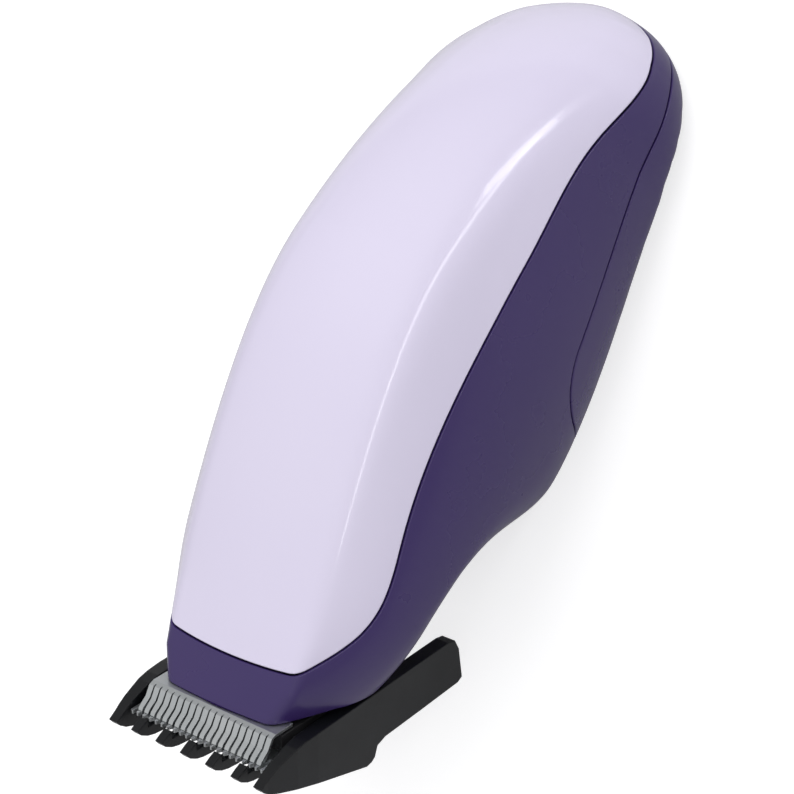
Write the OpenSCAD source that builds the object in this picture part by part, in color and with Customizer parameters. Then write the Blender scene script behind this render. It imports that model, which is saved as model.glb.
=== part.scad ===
// Small battery hair clipper with a snap-on guide comb, as an assembly of separate pieces.
// Body frame: +X across, +Y from the nose back along the motor, +Z towards the crown.
// The whole clipper is then laid the way it rests on a table: on the hump and tail of its
// battery door, blades up and to the front (-Y). Millimetres, origin at the bottom centre.

/* [Body shell] */
// Length of the body from the nose's foot to the tail
body_l = 117; // [114:0.5:141]
// Width of the body at its widest
body_w = 47.2; // [44:0.2:57]
// Height of the crown over the motor line
crown_h = 29.2; // [28:0.1:35]
// Depth of the belly's hump under the motor line
hump_h = 20.5; // [19.5:0.1:24.6]
// Wall of the moulded shells
wall = 1.8; // [1.5:0.1:2.2]
// Open line between two shells
seam_gap = 0.3; // [0.2:0.05:0.5]

/* [Blade set] */
// Cutting teeth of the moving cutter (even)
tooth_count = 20; // [16:2:20]
// Distance from tooth to tooth
tooth_pitch = 1.15; // [1:0.01:1.18]
// Gap cut between two teeth
slot_w = 0.5; // [0.4:0.05:0.6]
// Thickness of the fixed blade
blade_t = 1; // [0.8:0.05:1.2]
// Sheet of the moving cutter
cutter_t = 0.5; // [0.4:0.05:0.6]
// Way of the cutter to each side
cutter_way = 0.6; // [0.4:0.05:0.7]

/* [Guide comb] */
// Teeth between the comb's two arms (odd)
comb_teeth = 5; // [3:2:5]
// Distance from comb tooth to comb tooth
comb_pitch = 4.6; // [4.2:0.1:4.8]
// Thickness of a comb tooth
comb_tooth_w = 1.3; // [1:0.1:1.6]
// Thickness of a comb arm
arm_t = 2.3; // [2:0.1:2.5]
// Length of a comb arm behind the blade's tips
arm_l = 42; // [36:0.5:43]

/* [Motor and drive] */
// Width of the flat-sided motor can
motor_w = 20.1; // [18:0.1:20.4]
// Height of the motor can over its flats
motor_h = 15.1; // [14:0.1:15.4]
// Length of the motor can
motor_l = 22; // [20:0.5:22.5]
// Diameter of the motor shaft
shaft_d = 2; // [1.5:0.1:2.3]

/* [Battery] */
// Diameter of one cell
cell_d = 14.5; // [13.5:0.1:14.5]
// Length of one cell
cell_l = 50.5; // [44:0.5:50.5]

/* [Switch] */
// Way of the switch knob
knob_way = 2.5; // [2:0.1:3]
// Length of the switch knob
knob_l = 5; // [4:0.5:5.5]

/* [Hidden] */
$fn = 48;

lilac = [0.87, 0.85, 0.93];
purple = [0.22, 0.16, 0.38];
black = [0.08, 0.08, 0.1];
steel = [0.72, 0.74, 0.75];
brass = [0.8, 0.66, 0.35];
ivory = [0.92, 0.91, 0.86];

// ---- curves of the body ------------------------------------------------------------------
// A curve is a list of knots [place, value, slope], joined by cubics.
nose_s = -3.6;
tail_h = 9.5;
// The front knots keep their places in millimetres on a longer or shorter body, so the barrel
// behind them takes the change. drawn_l is the length that their fractions are drawn over.
drawn_l = 120.6;
function kept(k) =
    let (l = body_l - nose_s, u = asin(sin(90 * k[0]) * drawn_l / l) / 90)
    [u, k[1], k[2] * l * cos(90 * u) / (drawn_l * cos(90 * k[0]))];
function knots(front, rear) = concat([for (k = front) kept(k)], rear);
crown_k = knots([[0, 1.9, 108], [0.35, crown_h, 0]], [[1, tail_h, -17]]);
belly_k = knots(
    [[0, -8, -150], [0.07, -13.8, 0], [0.156, -8.9, 72], [0.29, -hump_h, 16]],
    [[0.6, 0.5, 52], [1, tail_h, 40]]
);
// How square the belly's corners are: 2 is an ellipse.
belly_round = knots([[0, 2.7, 0], [0.15, 2, 0], [0.3, 2.7, 0]], [[1, 2.7, 0]]);
half_k = knots([[0, 10.1, 89], [0.12, 20.2, 33], [0.33, 23.53, 0]], [[0.61, 22.1, 0], [1, 0, -82]]);
crease_k = knots([[0, 11.3, 15], [0.34, 12.7, 0]], [[1, 14.2, 0]]);
wide_nose = -2.5;
wide_tail = 4.8;
// Where the hollow inside the shells begins behind the nose's foot.
inner_front = 2;

// The cover's seam and the door's seam in the side view, knots [length, height, slope].
seam_k = [
    [2, 5.7, -0.3], [11, 4.15, 0], [24, 8.6, 0.55], [0.564 * body_l, 18.1, 0],
    [0.752 * body_l, 17.2, -0.2], [body_l - 1, 10.2, -0.3]
];
door_s = 0.479 * body_l;
door_k = [
    [door_s, -3.2, 1.6], [door_s + 7.5, 2.9, 0.25],
    [body_l - 16, 10.1, 0.05], [body_l - 1.5, 6.9, -0.5]
];

function mix(a, b, k) = a + (b - a) * k;
function clip(v, lo, hi) = max(lo, min(hi, v));
function cubic(p, q, x) =
    let (h = q[0] - p[0], k = (x - p[0]) / h, k2 = k * k, k3 = k2 * k)
    (2 * k3 - 3 * k2 + 1) * p[1] + (k3 - 2 * k2 + k) * h * p[2]
    + (3 * k2 - 2 * k3) * q[1] + (k3 - k2) * h * q[2];
function span(ks, x, i = 0) = (i >= len(ks) - 2 || x <= ks[i + 1][0]) ? i : span(ks, x, i + 1);
function curve(ks, x) = let (i = span(ks, x)) cubic(ks[i], ks[i + 1], x);

// u runs 0 to 1 from nose to tail, and w is the depth under the outer skin.
function length_at(u, w) = nose_s + (body_l - w - nose_s) * sin(90 * u);
function u_at(s) = asin((s - nose_s) / (body_l - nose_s)) / 90;
function sunk(u, w) = w * (1 - pow(u, 8));
function crown(u, w) = curve(crown_k, u) - sunk(u, w);
function belly(u, w) = curve(belly_k, u) + sunk(u, w);
function half_w(u, w) = max(0, curve(half_k, u) * body_w / 47.2 - sunk(u, w));
function widest(u, w) =
    let (t = crown(u, w), b = belly(u, w))
    clip(mix(mix(wide_nose, wide_tail, u), tail_h, pow(u, 4)), mix(b, t, 0.15), mix(b, t, 0.8));
function crease_x(u, w) =
    let (a = half_w(u, w))
    mix(min(curve(crease_k, u) - 0.5 * w, 0.93 * a), 0.66 * a, pow(u, 3));
function crease_drop(u, w) = mix(1.2, 3.4, u) * min(1, (crown(u, w) - widest(u, w)) / 12);

// One half of a cross-section: a shallow arch to the crease, a bowed side to the widest line,
// and a full rounded belly. n holds how many steps each of the three parts takes.
function half_ring(u, w, n) =
    let (t = crown(u, w), b = belly(u, w), a = half_w(u, w), m = widest(u, w),
         c = crease_x(u, w), zc = t - crease_drop(u, w), z1 = mix(m, zc, 0.5),
         e = 2 / curve(belly_round, u))
    concat(
        [for (i = [0 : n[0]]) let (k = i / n[0]) [c * k, t - (t - zc) * k * k]],
        [for (i = [1 : n[1]])
            let (k = i / n[1], r = 1 - k)
            [r * r * c + (2 * k * r + k * k) * a, r * r * zc + 2 * k * r * z1 + k * k * m]],
        [for (i = [1 : n[2]])
            let (q = 90 * i / n[2])
            [a * pow(cos(q), e), m - (m - b) * pow(sin(q), e)]]
    );
function ring(u, w, n) =
    let (h = half_ring(u, w, n), s = length_at(u, w), last = len(h) - 1)
    concat(
        [for (p = h) [p[0], s, p[1]]],
        [for (i = [last - 1 : -1 : 1]) [-h[i][0], s, h[i][1]]]
    );

// The body as one loft of cross-sections, w under the skin, from u0 to the tail's pole.
module body_loft(w, u0, steps, n) {
    rings = [for (i = [0 : steps]) ring(mix(u0, 0.96, pow(i / steps, 1.25)), w, n)];
    m = len(rings[0]);
    pole = (steps + 1) * m;
    points = concat([for (r = rings) each r], [[0, body_l - w, tail_h]]);
    faces = concat(
        [[for (j = [0 : m - 1]) j]],
        [for (i = [0 : steps - 1], j = [0 : m - 1])
            let (a = i * m + j, b = i * m + (j + 1) % m) [a, b + m, b]],
        [for (i = [0 : steps - 1], j = [0 : m - 1])
            let (a = i * m + j, b = i * m + (j + 1) % m) [a, a + m, b + m]],
        [for (j = [0 : m - 1]) [pole - m + j, pole, pole - m + (j + 1) % m]]
    );
    polyhedron(points, faces, convexity = 6);
}
module outer_form() {
    body_loft(0, 0, 28, [6, 7, 9]);
}
module inner_form() {
    body_loft(wall, asin((inner_front - nose_s) / (body_l - wall - nose_s)) / 90, 16, [3, 4, 5]);
}

// ---- frames --------------------------------------------------------------------------------
// The blade set's own frame: origin at the middle of the blade tips, +Y back along the blade.
blade_tilt = 37.6;
blade_at = [0, -9.12, 1.03];
module at_blade() {
    translate(blade_at) rotate([-blade_tilt, 0, 0]) children();
}
// A place in the blade frame (y, z) given in the body frame (y, z).
function to_body(y, z) = [
    blade_at[1] + y * cos(blade_tilt) + z * sin(blade_tilt),
    blade_at[2] - y * sin(blade_tilt) + z * cos(blade_tilt)
];

// Resting on the table: tail down, flat_cut sanded off the lowest places of the door.
rest_tilt = 24.3;
flat_cut = 0.4;
comb_tip = [-2.8, -0.5];
comb_front = [-1, -2.1];
steps_u = [for (i = [0 : 200]) i / 200];
rest_low = min([for (u = steps_u)
    -length_at(u, 0) * sin(rest_tilt) + belly(u, 0) * cos(rest_tilt)]) + flat_cut;
rest_back = max([for (u = steps_u)
    length_at(u, 0) * cos(rest_tilt) + crown(u, 0) * sin(rest_tilt)]);
rest_front = to_body(comb_front[0], comb_front[1]) * [cos(rest_tilt), sin(rest_tilt)];
module lay() {
    translate([0, -(rest_front + rest_back) / 2, -rest_low]) rotate([-rest_tilt, 0, 0]) children();
}

// ---- helpers -------------------------------------------------------------------------------
// A side-view outline (length, height), pulled across the width.
module across(w) {
    rotate([90, 0, 90]) linear_extrude(w, center = true) children();
}
module block(x, y, z) {
    translate([x[0], y[0], z[0]]) cube([x[1] - x[0], y[1] - y[0], z[1] - z[0]]);
}
module below_rest() {
    rotate([rest_tilt, 0, 0]) block([-40, 40], [-60, 180], [rest_low - 20, rest_low]);
}
module both() {
    children();
    mirror([1, 0, 0]) children();
}
module along_y(y, r) {
    translate([0, y[0], 0]) rotate([-90, 0, 0]) cylinder(h = y[1] - y[0], r = r);
}
// A round wire through a list of points, with a ball at each bend.
module wire(pts, r, ball) {
    for (i = [0 : len(pts) - 2]) {
        d = pts[i + 1] - pts[i];
        l = norm(d);
        translate(pts[i]) rotate([0, acos(d[2] / l), atan2(d[1], d[0])]) cylinder(h = l, r = r);
    }
    for (i = [1 : len(pts) - 2]) translate(pts[i]) sphere(r = ball);
}

// ---- seams ---------------------------------------------------------------------------------
module above_seam(gap) {
    line = [for (i = [0 : 24]) let (s = mix(2, body_l - 1, i / 24)) [s, curve(seam_k, s) + gap]];
    across(body_w + 40) polygon(concat(
        [[-20, 12 + gap]], line, [[body_l + 20, 9 + gap], [body_l + 20, 60], [-20, 60]]
    ));
}
module door_region(gap) {
    line = [for (i = [0 : 20])
        let (s = mix(door_s, body_l - 1.5, i / 20))
        [s + gap, curve(door_k, s) - gap]];
    across(body_w + 40) polygon(concat(
        [[door_s + gap, -60]], line, [[body_l + 20, -2 - gap], [body_l + 20, -60]]
    ));
}

// ---- blade set sizes (blade frame) ---------------------------------------------------------
blade_hw = (tooth_count + 1) * tooth_pitch / 2 + 0.22;
cutter_hw = tooth_count * tooth_pitch / 2 - 0.2;
blade_top = 0.6;
blade_back = 13.5;
carrier_top = 3.15;
carrier_back = 16.9;
cutter_low = 3.45;
cutter_back = 17;
nose_z = cutter_low + cutter_t + 0.15;
space_back = 17.5;
arm_in = blade_hw + 0.3;
rebate_x = arm_in - 0.5;
rebate_z = 3.85;
screw_y = 10;
screw_x = 8;
tongue_y = 22;
tongue_screw_y = 19.6;
floor_z = nose_z + 1.5;

// ---- motor and drive places (body frame) ---------------------------------------------------
motor_s = 13.5;
motor_z = 1;
cap_l = 2.6;
cam_s = 8.6;
cam_l = 2.8;
pin_r = 0.8;
pin_front = 5.6;
fork_slot = pin_r + 2 * cutter_way + 0.15;
fork_hw = fork_slot + 1.6;
fork_gap = 1.2;
fork_s = [5.4, cam_s - fork_gap];
fork_h = [-4.2, 3.6];
base_y = [11.3, 17];
base_top = 6.9;
peg_x = 2.6;
spring_y = 8.6;

// ---- battery places (cell frame: +Y along the cells) ---------------------------------------
cell_back = 7.75008 + 0.75 * body_l;
cell_front = cell_back - cell_l;
cell_x = cell_d / 2 + 0.15;
cell_tilt = 5.8;
cell_h0 = 11.1034 - cell_l * sin(cell_tilt);
bore_r = cell_d / 2 + 0.2;
tray_r = bore_r + 1.1;
tray_y = [-3.4, cell_l + 2.1];
flange_y = [3, 9];
flange_x = cell_x + tray_r + 3.6;
flange_z = [-1.3, 0.5];
tray_hole_x = cell_x + tray_r + 1.8;
ledge_y = [cell_l - 22, cell_l - 16];
module at_cells() {
    translate([0, cell_front, cell_h0]) rotate([cell_tilt, 0, 0]) children();
}
cover_screw_s = body_l - 16;

// ---- switch places (blade frame, on the slope of the belly) --------------------------------
knob_y = 46.2;
pad_z = 17.4;
pad_top = 19.35;
slot_hw = 1.3;
knob_hw = 3;
switch_y = [knob_y - 4, knob_y + 6];
switch_top = 23;

// ---- shells --------------------------------------------------------------------------------
module motor_form(gap) {
    intersection() {
        translate([0, 0, motor_z]) along_y([motor_s - gap, motor_s + motor_l + gap], motor_w / 2 + gap);
        block([-30, 30], [0, 60], [motor_z - motor_h / 2 - gap, motor_z + motor_h / 2 + gap]);
    }
}
// Everything inside the housing that stays plastic: nose floor, neck walls, ribs and ledges.
module housing_ribs() {
    at_blade() {
        block([-40, 40], [-20, space_back + 1.6], [-40, floor_z]);
        both() block([rebate_x - 1.7, 40], [-20, 44], [-40, rebate_z + 1.7]);
        block([-8.5, 8.5], [space_back, tongue_y + 1.8], [-40, 4.7]);
        block([-6.5, 6.5], [switch_y[0] - 1, switch_y[1] + 1], [0, pad_top]);
    }
    for (s = [motor_s + 3, motor_s + motor_l - 6])
        block([-14, 14], [s, s + 1.8], [-30, motor_z + 3]);
    block([-30, 30], [door_s - 2, door_s], [-40, -4]);
    at_cells() both() {
        block([tray_hole_x - 2.4, 30], [flange_y[0] - 0.5, flange_y[1] + 0.5], [-8, flange_z[0] - 0.05]);
        block([cell_x + tray_r + 1, 30], [ledge_y[0] - 0.5, ledge_y[1] + 0.5], [-6, flange_z[0] - 0.05]);
    }
    block([-30, 30], [cover_screw_s - 2.8, cover_screw_s + 3.5], [0, curve(door_k, cover_screw_s) + 2.3]);
}
module main_housing() {
    lay() color(purple) difference() {
        outer_form();
        above_seam(-seam_gap / 2);
        door_region(-seam_gap / 2);
        difference() {
            inner_form();
            housing_ribs();
        }
        motor_form(0.1);
        at_blade() {
            block([-40, 40], [-20, 14], [-40, nose_z]);
            block([-rebate_x - 1, rebate_x + 1], [0, space_back], [-40, nose_z]);
            both() block([rebate_x, 40], [-20, 43], [-40, rebate_z]);
            block([-fork_hw - cutter_way - 0.4, fork_hw + cutter_way + 0.4],
                [base_y[0] - 0.4, base_y[1] + 0.5], [0, floor_z + 6]);
            block([-6.1, 6.1], [space_back - 1, tongue_y + 0.1], [1.1, 3.3]);
            translate([0, tongue_screw_y, -9]) cylinder(h = 13.6, r = 0.85);
            translate([0, tongue_screw_y, -9]) cylinder(h = 9.7, r = 2.1);
            block([-6, 6], [knob_y - 4.4, knob_y + 5], [0, pad_z]);
            block([-slot_hw, slot_hw], [knob_y - 1.6, knob_y + knob_way + 1.6], [0, 30]);
            both() block([5.8, 7], [spring_y - 0.1, spring_y + 0.4], [floor_z - 0.9, floor_z + 2.2]);
        }
        at_cells() both() translate([tray_hole_x, 6, -5.2]) cylinder(h = 5, r = 0.85);
        block([-4.4, 4.4], [door_s - 3, door_s + 1], [latch_h - 1.1, latch_h + 1.5]);
        below_rest();
        translate([0, cover_screw_s, 0]) cylinder(h = 30, r = 1.3);
        translate([0, cover_screw_s, 0]) cylinder(h = curve(door_k, cover_screw_s) + 0.9, r = 2.6);
    }
}
boss_low = curve(door_k, cover_screw_s) + 2.4;
module top_cover() {
    lay() color(lilac) difference() {
        intersection() {
            outer_form();
            above_seam(seam_gap / 2);
        }
        difference() {
            inner_form();
            block([-14, 14], [motor_s + 8, motor_s + 10], [motor_z + motor_h / 2 + 0.1, 40]);
            translate([0, cover_screw_s, 0]) cylinder(h = 40, r = 3.2);
            at_cells() for (y = [12, cell_l - 14])
                block([-9, 9], [y, y + 1.6], [tray_r + 0.1, 40]);
        }
        translate([0, cover_screw_s, 0]) cylinder(h = boss_low + 5.5, r = 0.95);
    }
}
// The door slides off backwards and down. Two hooks on each side stand inside the housing's
// edge, and a tongue at the front edge reaches through the housing's bulkhead.
latch_h = -hump_h + 4.1;
module door_hook(s) {
    x = half_w(u_at(s), wall) - 1.7 * body_w / 47.2;
    h = curve(door_k, s);
    translate([0, s, 0]) rotate([90, 0, 0]) linear_extrude(5, center = true) polygon([
        [x - 1.1, h - 3], [x + 2.3, h - 3], [x + 2.3, h - 1.5], [x, h - 1.5], [x, h + 1.3], [x - 1.1, h + 1.3]
    ]);
}
module battery_door() {
    lay() color(purple) {
        difference() {
            intersection() {
                outer_form();
                door_region(seam_gap / 2);
            }
            inner_form();
            below_rest();
        }
        both() for (s = [door_s + 12, body_l - 31]) door_hook(s);
        block([-4, 4], [door_s - 1.5, door_s + 2.4], [latch_h, latch_h + 1.2]);
        block([-4, 4], [door_s + 0.8, door_s + 2.4], [latch_h - 1.6, latch_h + 1.2]);
    }
}

// ---- battery -------------------------------------------------------------------------------
module battery_tray() {
    lay() at_cells() color(black) difference() {
        union() {
            both() translate([cell_x, 0, 0]) along_y([tray_y[0], cell_l - 1.2], tray_r);
            block([-cell_x, cell_x], [tray_y[0], cell_l - 1.2], [0, tray_r - 1.2]);
            block([-cell_x - 5.6, cell_x + 5.6], [cell_l - 3, tray_y[1]], [flange_z[0], 5.6]);
            both() block([cell_x, flange_x], flange_y, flange_z);
            both() block([cell_x, cell_x + tray_r + 2.4], ledge_y, flange_z);
        }
        both() translate([cell_x, 0, 0]) along_y([-1.6, cell_l + 0.8], bore_r);
        block([-cell_x, cell_x], [-1.6, cell_l + 0.8], [-20, 1]);
        block([-40, 40], [-20, cell_l + 20], [-20, flange_z[0]]);
        block([-cell_x - 3.2, cell_x + 3.2], [cell_l, cell_l + 0.85], [-20, 5.2]);
        both() translate([tray_hole_x, 6, -5]) cylinder(h = 10, r = 1.1);
        both() block([cell_x - 1.6, cell_x + 1.6], [-9, 0], [-2, 1.6]);
    }
}
module tray_screws() {
    lay() at_cells() color(steel) both() translate([tray_hole_x, 6, 0]) {
        translate([0, 0, -5]) cylinder(h = 5.8, r = 0.8);
        difference() {
            translate([0, 0, 0.55]) cylinder(h = 1, r = 1.6);
            translate([0, 0, 1.15]) block([-1.1, 1.1], [-0.22, 0.22], [0, 1]);
            translate([0, 0, 1.15]) block([-0.22, 0.22], [-1.1, 1.1], [0, 1]);
        }
    }
}
module cell() {
    along_y([0.9, cell_l - 1.5], cell_d / 2 - 0.12);
    along_y([0.2, 0.9], cell_d / 2 - 1.2);
    along_y([1.6, cell_l - 2.2], cell_d / 2);
    along_y([cell_l - 1.5, cell_l], 2.6);
}
module battery_cells() {
    lay() at_cells() color([0.15, 0.2, 0.25]) {
        translate([cell_x, 0, 0]) cell();
        translate([-cell_x, cell_l, 0]) rotate([0, 0, 180]) cell();
    }
}
// Front end: a bowed strip presses on one cell's base and a plate meets the other's button.
module battery_terminals() {
    lay() at_cells() color(brass) {
        translate([cell_x, 0, 0]) bowed_strip();
        translate([-cell_x, 0, 0]) {
            block([-3, 3], [-1.2, -0.8], [-1.2, 5]);
            block([-0.9, 0.9], [-5, -0.8], [0.2, 0.6]);
        }
    }
}
module bowed_strip() {
    translate([0, 0, 1.2]) across(5) polygon([
        [-1.5, -2.4], [-1.1, -2.4], [-1.1, 2.6], [0.1, 0.6], [0.1, -0.6], [-0.5, -1.8], [-0.2, -1.9],
        [0.15, -0.7], [0.15, 0.7], [-1.05, 3.8], [-1.5, 3.8]
    ]);
    block([-0.9, 0.9], [-5, -1.2], [0.2, 0.6]);
}
module battery_link() {
    lay() at_cells() color(brass) translate([0, cell_l, 0]) {
        block([-cell_x - 3, cell_x + 3], [0.35, 0.75], [-1.2, 5]);
        translate([cell_x, 0, 2]) block([-2, 2], [0.05, 0.4], [-2, 2]);
        translate([-cell_x, 0, 2]) block([-2, 2], [-0.15, 0.4], [-2, 2]);
    }
}
module cover_screw() {
    lay() color(steel) translate([0, cover_screw_s, boss_low - 1.5]) {
        difference() {
            translate([0, 0, -1.2]) cylinder(h = 1.2, r = 2.2);
            translate([0, 0, -1.2]) block([-1.4, 1.4], [-0.25, 0.25], [-1, 0.6]);
            translate([0, 0, -1.2]) block([-0.25, 0.25], [-1.4, 1.4], [-1, 0.6]);
        }
        cylinder(h = 6.5, r = 0.9);
    }
}

// ---- motor and drive -----------------------------------------------------------------------
can_t = 0.8;
rotor_r = 6.1;
module motor_can() {
    lay() color(steel) difference() {
        motor_form(0);
        intersection() {
            translate([0, 0, motor_z]) along_y([motor_s + can_t, 60], motor_w / 2 - can_t);
            block([-30, 30], [0, 60], [motor_z - motor_h / 2 + can_t, motor_z + motor_h / 2 - can_t]);
        }
        translate([0, 0, motor_z]) along_y([0, 20], 3);
    }
}
module motor_end_cap() {
    lay() translate([0, motor_s + motor_l, motor_z]) {
        color(black) difference() {
            intersection() {
                along_y([0.05, cap_l], motor_w / 2 - 0.3);
                block([-30, 30], [0, 10], [-motor_h / 2 + 0.3, motor_h / 2 - 0.3]);
            }
            along_y([-1, 1.4], 2.6);
            along_y([-1, 2], shaft_d / 2 + 0.2);
            both() block([6.6, 7.4], [-1, 10], [-1.2, 1.2]);
        }
    }
}
// Solder tabs through the end cap, each with the leaf brush it feeds.
module motor_terminals() {
    lay() color(brass) translate([0, motor_s + motor_l, motor_z]) both() {
        block([6.65, 7.35], [-0.5, cap_l + 1.6], [-1.1, 1.1]);
        block([2.6, 7.35], [-0.5, -0.1], [-1.1, 1.1]);
        block([2.6, 2.9], [-4.4, -0.1], [-1.1, 1.1]);
    }
}
module motor_magnets() {
    lay() color([0.2, 0.2, 0.22]) translate([0, 0, motor_z]) intersection() {
        difference() {
            along_y([motor_s + 2, motor_s + motor_l - 4], motor_w / 2 - can_t - 0.05);
            along_y([0, 60], rotor_r + 0.5);
        }
        both() block([4.2, 20], [0, 60], [-motor_h / 2 + can_t + 0.1, motor_h / 2 - can_t - 0.1]);
    }
}
module motor_armature() {
    lay() translate([0, 0, motor_z]) {
        color(steel) along_y([cam_s + 0.4, motor_s + motor_l + 1.8], shaft_d / 2);
        color([0.6, 0.35, 0.2]) difference() {
            along_y([motor_s + 4, motor_s + motor_l - 6], rotor_r);
            for (a = [0 : 120 : 240]) rotate([0, a, 0]) block([-0.5, 0.5], [0, 60], [3.4, 10]);
            for (a = [0 : 120 : 240]) rotate([0, a, 0]) translate([0, 0, 3.6]) along_y([0, 60], 1.2);
        }
        color(brass) along_y([motor_s + motor_l - 5, motor_s + motor_l - 1], 2.4);
    }
}
module shaft_bushes() {
    lay() color(brass) translate([0, 0, motor_z]) {
        difference() {
            union() {
                along_y([motor_s - 1.2, motor_s], 3.6);
                along_y([motor_s - 1.2, motor_s + 2], 2.95);
            }
            along_y([0, 60], shaft_d / 2 + 0.05);
        }
        difference() {
            along_y([motor_s + motor_l - 0.4, motor_s + motor_l + 1.35], 2.55);
            along_y([0, 60], shaft_d / 2 + 0.05);
        }
    }
}
module eccentric_cam() {
    lay() color(ivory) translate([0, 0, motor_z]) {
        difference() {
            along_y([cam_s, cam_s + cam_l], 3.4);
            along_y([cam_s + 0.4, 60], shaft_d / 2);
            translate([0, 0, -4.6]) along_y([0, 60], 2.4);
        }
        translate([0, 0, cutter_way]) along_y([pin_front, cam_s + 0.2], pin_r);
    }
}
// The follower: a foot pegged on the cutter and a fork that reaches up beside the crank pin.
module cutter_follower() {
    lay() color(ivory) difference() {
        union() {
            at_blade() block([-fork_hw, fork_hw], base_y, [cutter_low + cutter_t, base_top]);
            block([-fork_hw, fork_hw], fork_s, fork_h);
        }
        block([-fork_slot, fork_slot], [fork_s[0] - 1, fork_s[1] + 1], [motor_z - pin_r - 2, 30]);
    }
    lay() at_blade() color(ivory) both()
        translate([peg_x, (base_y[0] + base_y[1]) / 2, cutter_low]) cylinder(h = 1, r = 0.8);
}
// A flat leaf spring: its bar bears on the follower's foot and its legs are hooked in the floor.
module cutter_spring() {
    t = 0.3;
    x = [5.9, 6.9];
    y = base_y[0] + 0.2;
    z = [base_top + 0.08, base_top + 0.08 + t];
    lay() at_blade() color(steel) {
        block([-x[1], x[1]], [y, y + 0.9], z);
        both() {
            block(x, [spring_y, y + 0.5], z);
            block(x, [spring_y, spring_y + t], [floor_z - 0.8, z[1]]);
        }
    }
}

// ---- blade set -----------------------------------------------------------------------------
module moving_cutter() {
    top = cutter_low + cutter_t;
    back_hw = 7.6;
    lay() at_blade() color(steel) difference() {
        across(2 * cutter_hw) polygon([
            [cutter_back, top], [3.5, top], [2.65, top - 0.35], [1.8, 2.15], [0.45, 1.1],
            [0.2, blade_top + 0.06], [1.2, blade_top + 0.06], [1.4 + cutter_t * 0.8, 1.3],
            [2.6 + cutter_t, cutter_low], [cutter_back, cutter_low]
        ]);
        for (i = [1 : tooth_count - 1])
            translate([(i - tooth_count / 2) * tooth_pitch, 0, 0]) linear_extrude(top + 1)
                polygon([[-slot_w / 2, -1], [slot_w / 2, -1], [slot_w / 5, 3.1], [-slot_w / 5, 3.1]]);
        both() block([back_hw, 30], [7, 30], [0, 10]);
        both() translate([peg_x, (base_y[0] + base_y[1]) / 2, 0]) cylinder(h = 10, r = 0.8);
    }
}
module fixed_blade() {
    low = blade_top - blade_t;
    lay() at_blade() color(steel) difference() {
        translate([0, 0, low]) linear_extrude(blade_t) difference() {
            union() {
                translate([-blade_hw, 0.2]) square([2 * blade_hw, blade_back - 0.2]);
                for (i = [0 : tooth_count - 1])
                    translate([(i - (tooth_count - 1) / 2) * tooth_pitch, 0]) tooth_tip(tooth_pitch - slot_w);
                for (k = [-1, 1]) translate([k * (blade_hw - 0.35), 0]) guard_tip(0.7);
            }
            for (i = [0 : tooth_count])
                translate([(i - tooth_count / 2) * tooth_pitch - slot_w / 2, -1]) square([slot_w, 3.3]);
        }
        across(60) polygon([[-2, 0.2], [-0.4, 0.1], [2.6, low], [2.6, low - 2], [-2, low - 2]]);
        both() translate([screw_x, screw_y, low - 1]) cylinder(h = 4, r = 1.05);
        both() translate([screw_x, screw_y, low - 0.01]) cylinder(h = 0.85, r1 = 1.95, r2 = 1.1);
    }
}
module tooth_tip(w) {
    polygon([[-w / 2, 0.9], [-w / 2, 0.35], [-w / 4, -0.35], [-w / 8, -0.4],
        [w / 8, -0.4], [w / 4, -0.35], [w / 2, 0.35], [w / 2, 0.9]]);
}
module guard_tip(w) {
    translate([-w / 2, -0.4 + w / 2]) square([w, 1]);
    translate([0, -0.4 + w / 2]) circle(r = w / 2, $fn = 24);
}
module blade_carrier() {
    hw = cutter_hw + 0.2;
    lay() at_blade() color(black) difference() {
        union() {
            block([-hw, hw], [4.5, carrier_back], [blade_top + 0.05, carrier_top]);
            block([-6, 6], [carrier_back, tongue_y], [1.2, 3.2]);
        }
        both() translate([screw_x, screw_y, 0]) cylinder(h = 3.2, r = 0.85);
        translate([0, tongue_screw_y, 0]) cylinder(h = 5, r = 0.85);
        block([-5, 5], [6.2, 14.5], [1.8, 5]);
    }
}
module blade_screws() {
    low = blade_top - blade_t;
    lay() at_blade() color(steel) {
        both() translate([screw_x, screw_y, 0]) {
            difference() {
                translate([0, 0, low]) cylinder(h = 0.8, r1 = 1.85, r2 = 0.95);
                translate([0, 0, low]) block([-1, 1], [-0.2, 0.2], [-1, 0.35]);
                translate([0, 0, low]) block([-0.2, 0.2], [-1, 1], [-1, 0.35]);
            }
            translate([0, 0, low + 0.6]) cylinder(h = 3, r = 0.8);
        }
        translate([0, tongue_screw_y, 0]) {
            difference() {
                translate([0, 0, -0.4]) cylinder(h = 1, r = 1.8);
                translate([0, 0, -0.4]) block([-1.1, 1.1], [-0.22, 0.22], [-1, 0.5]);
                translate([0, 0, -0.4]) block([-0.22, 0.22], [-1.1, 1.1], [-1, 0.5]);
            }
            translate([0, 0, 0.4]) cylinder(h = 4, r = 0.8);
        }
    }
}

// ---- guide comb ----------------------------------------------------------------------------
module comb_arm_outline() {
    polygon([
        comb_tip, [-1.7, 0.2], [-0.6, 0.9], [0.6, 1.5], [2.4, 2.15], [3.9, 2.65], [5.8, 3],
        [8.7, 3.15], [13, 3.2], [24, 3.35], [arm_l - 4.4, 3.5], [arm_l - 2.8, 3.2],
        [arm_l - 1.8, 1.4], [arm_l - 0.9, -3.8], [arm_l - 1.9, -4.3], [arm_l - 11, -4.6],
        [22.8, -4.8], [21, -5.4], [20.4, -7], [19.7, -7.5], [18.6, -7.7],
        [10.6, -5.5], [3.4, -3.5], [0.6, -2.65], comb_front, [-2.1, -1.35]
    ]);
}
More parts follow.
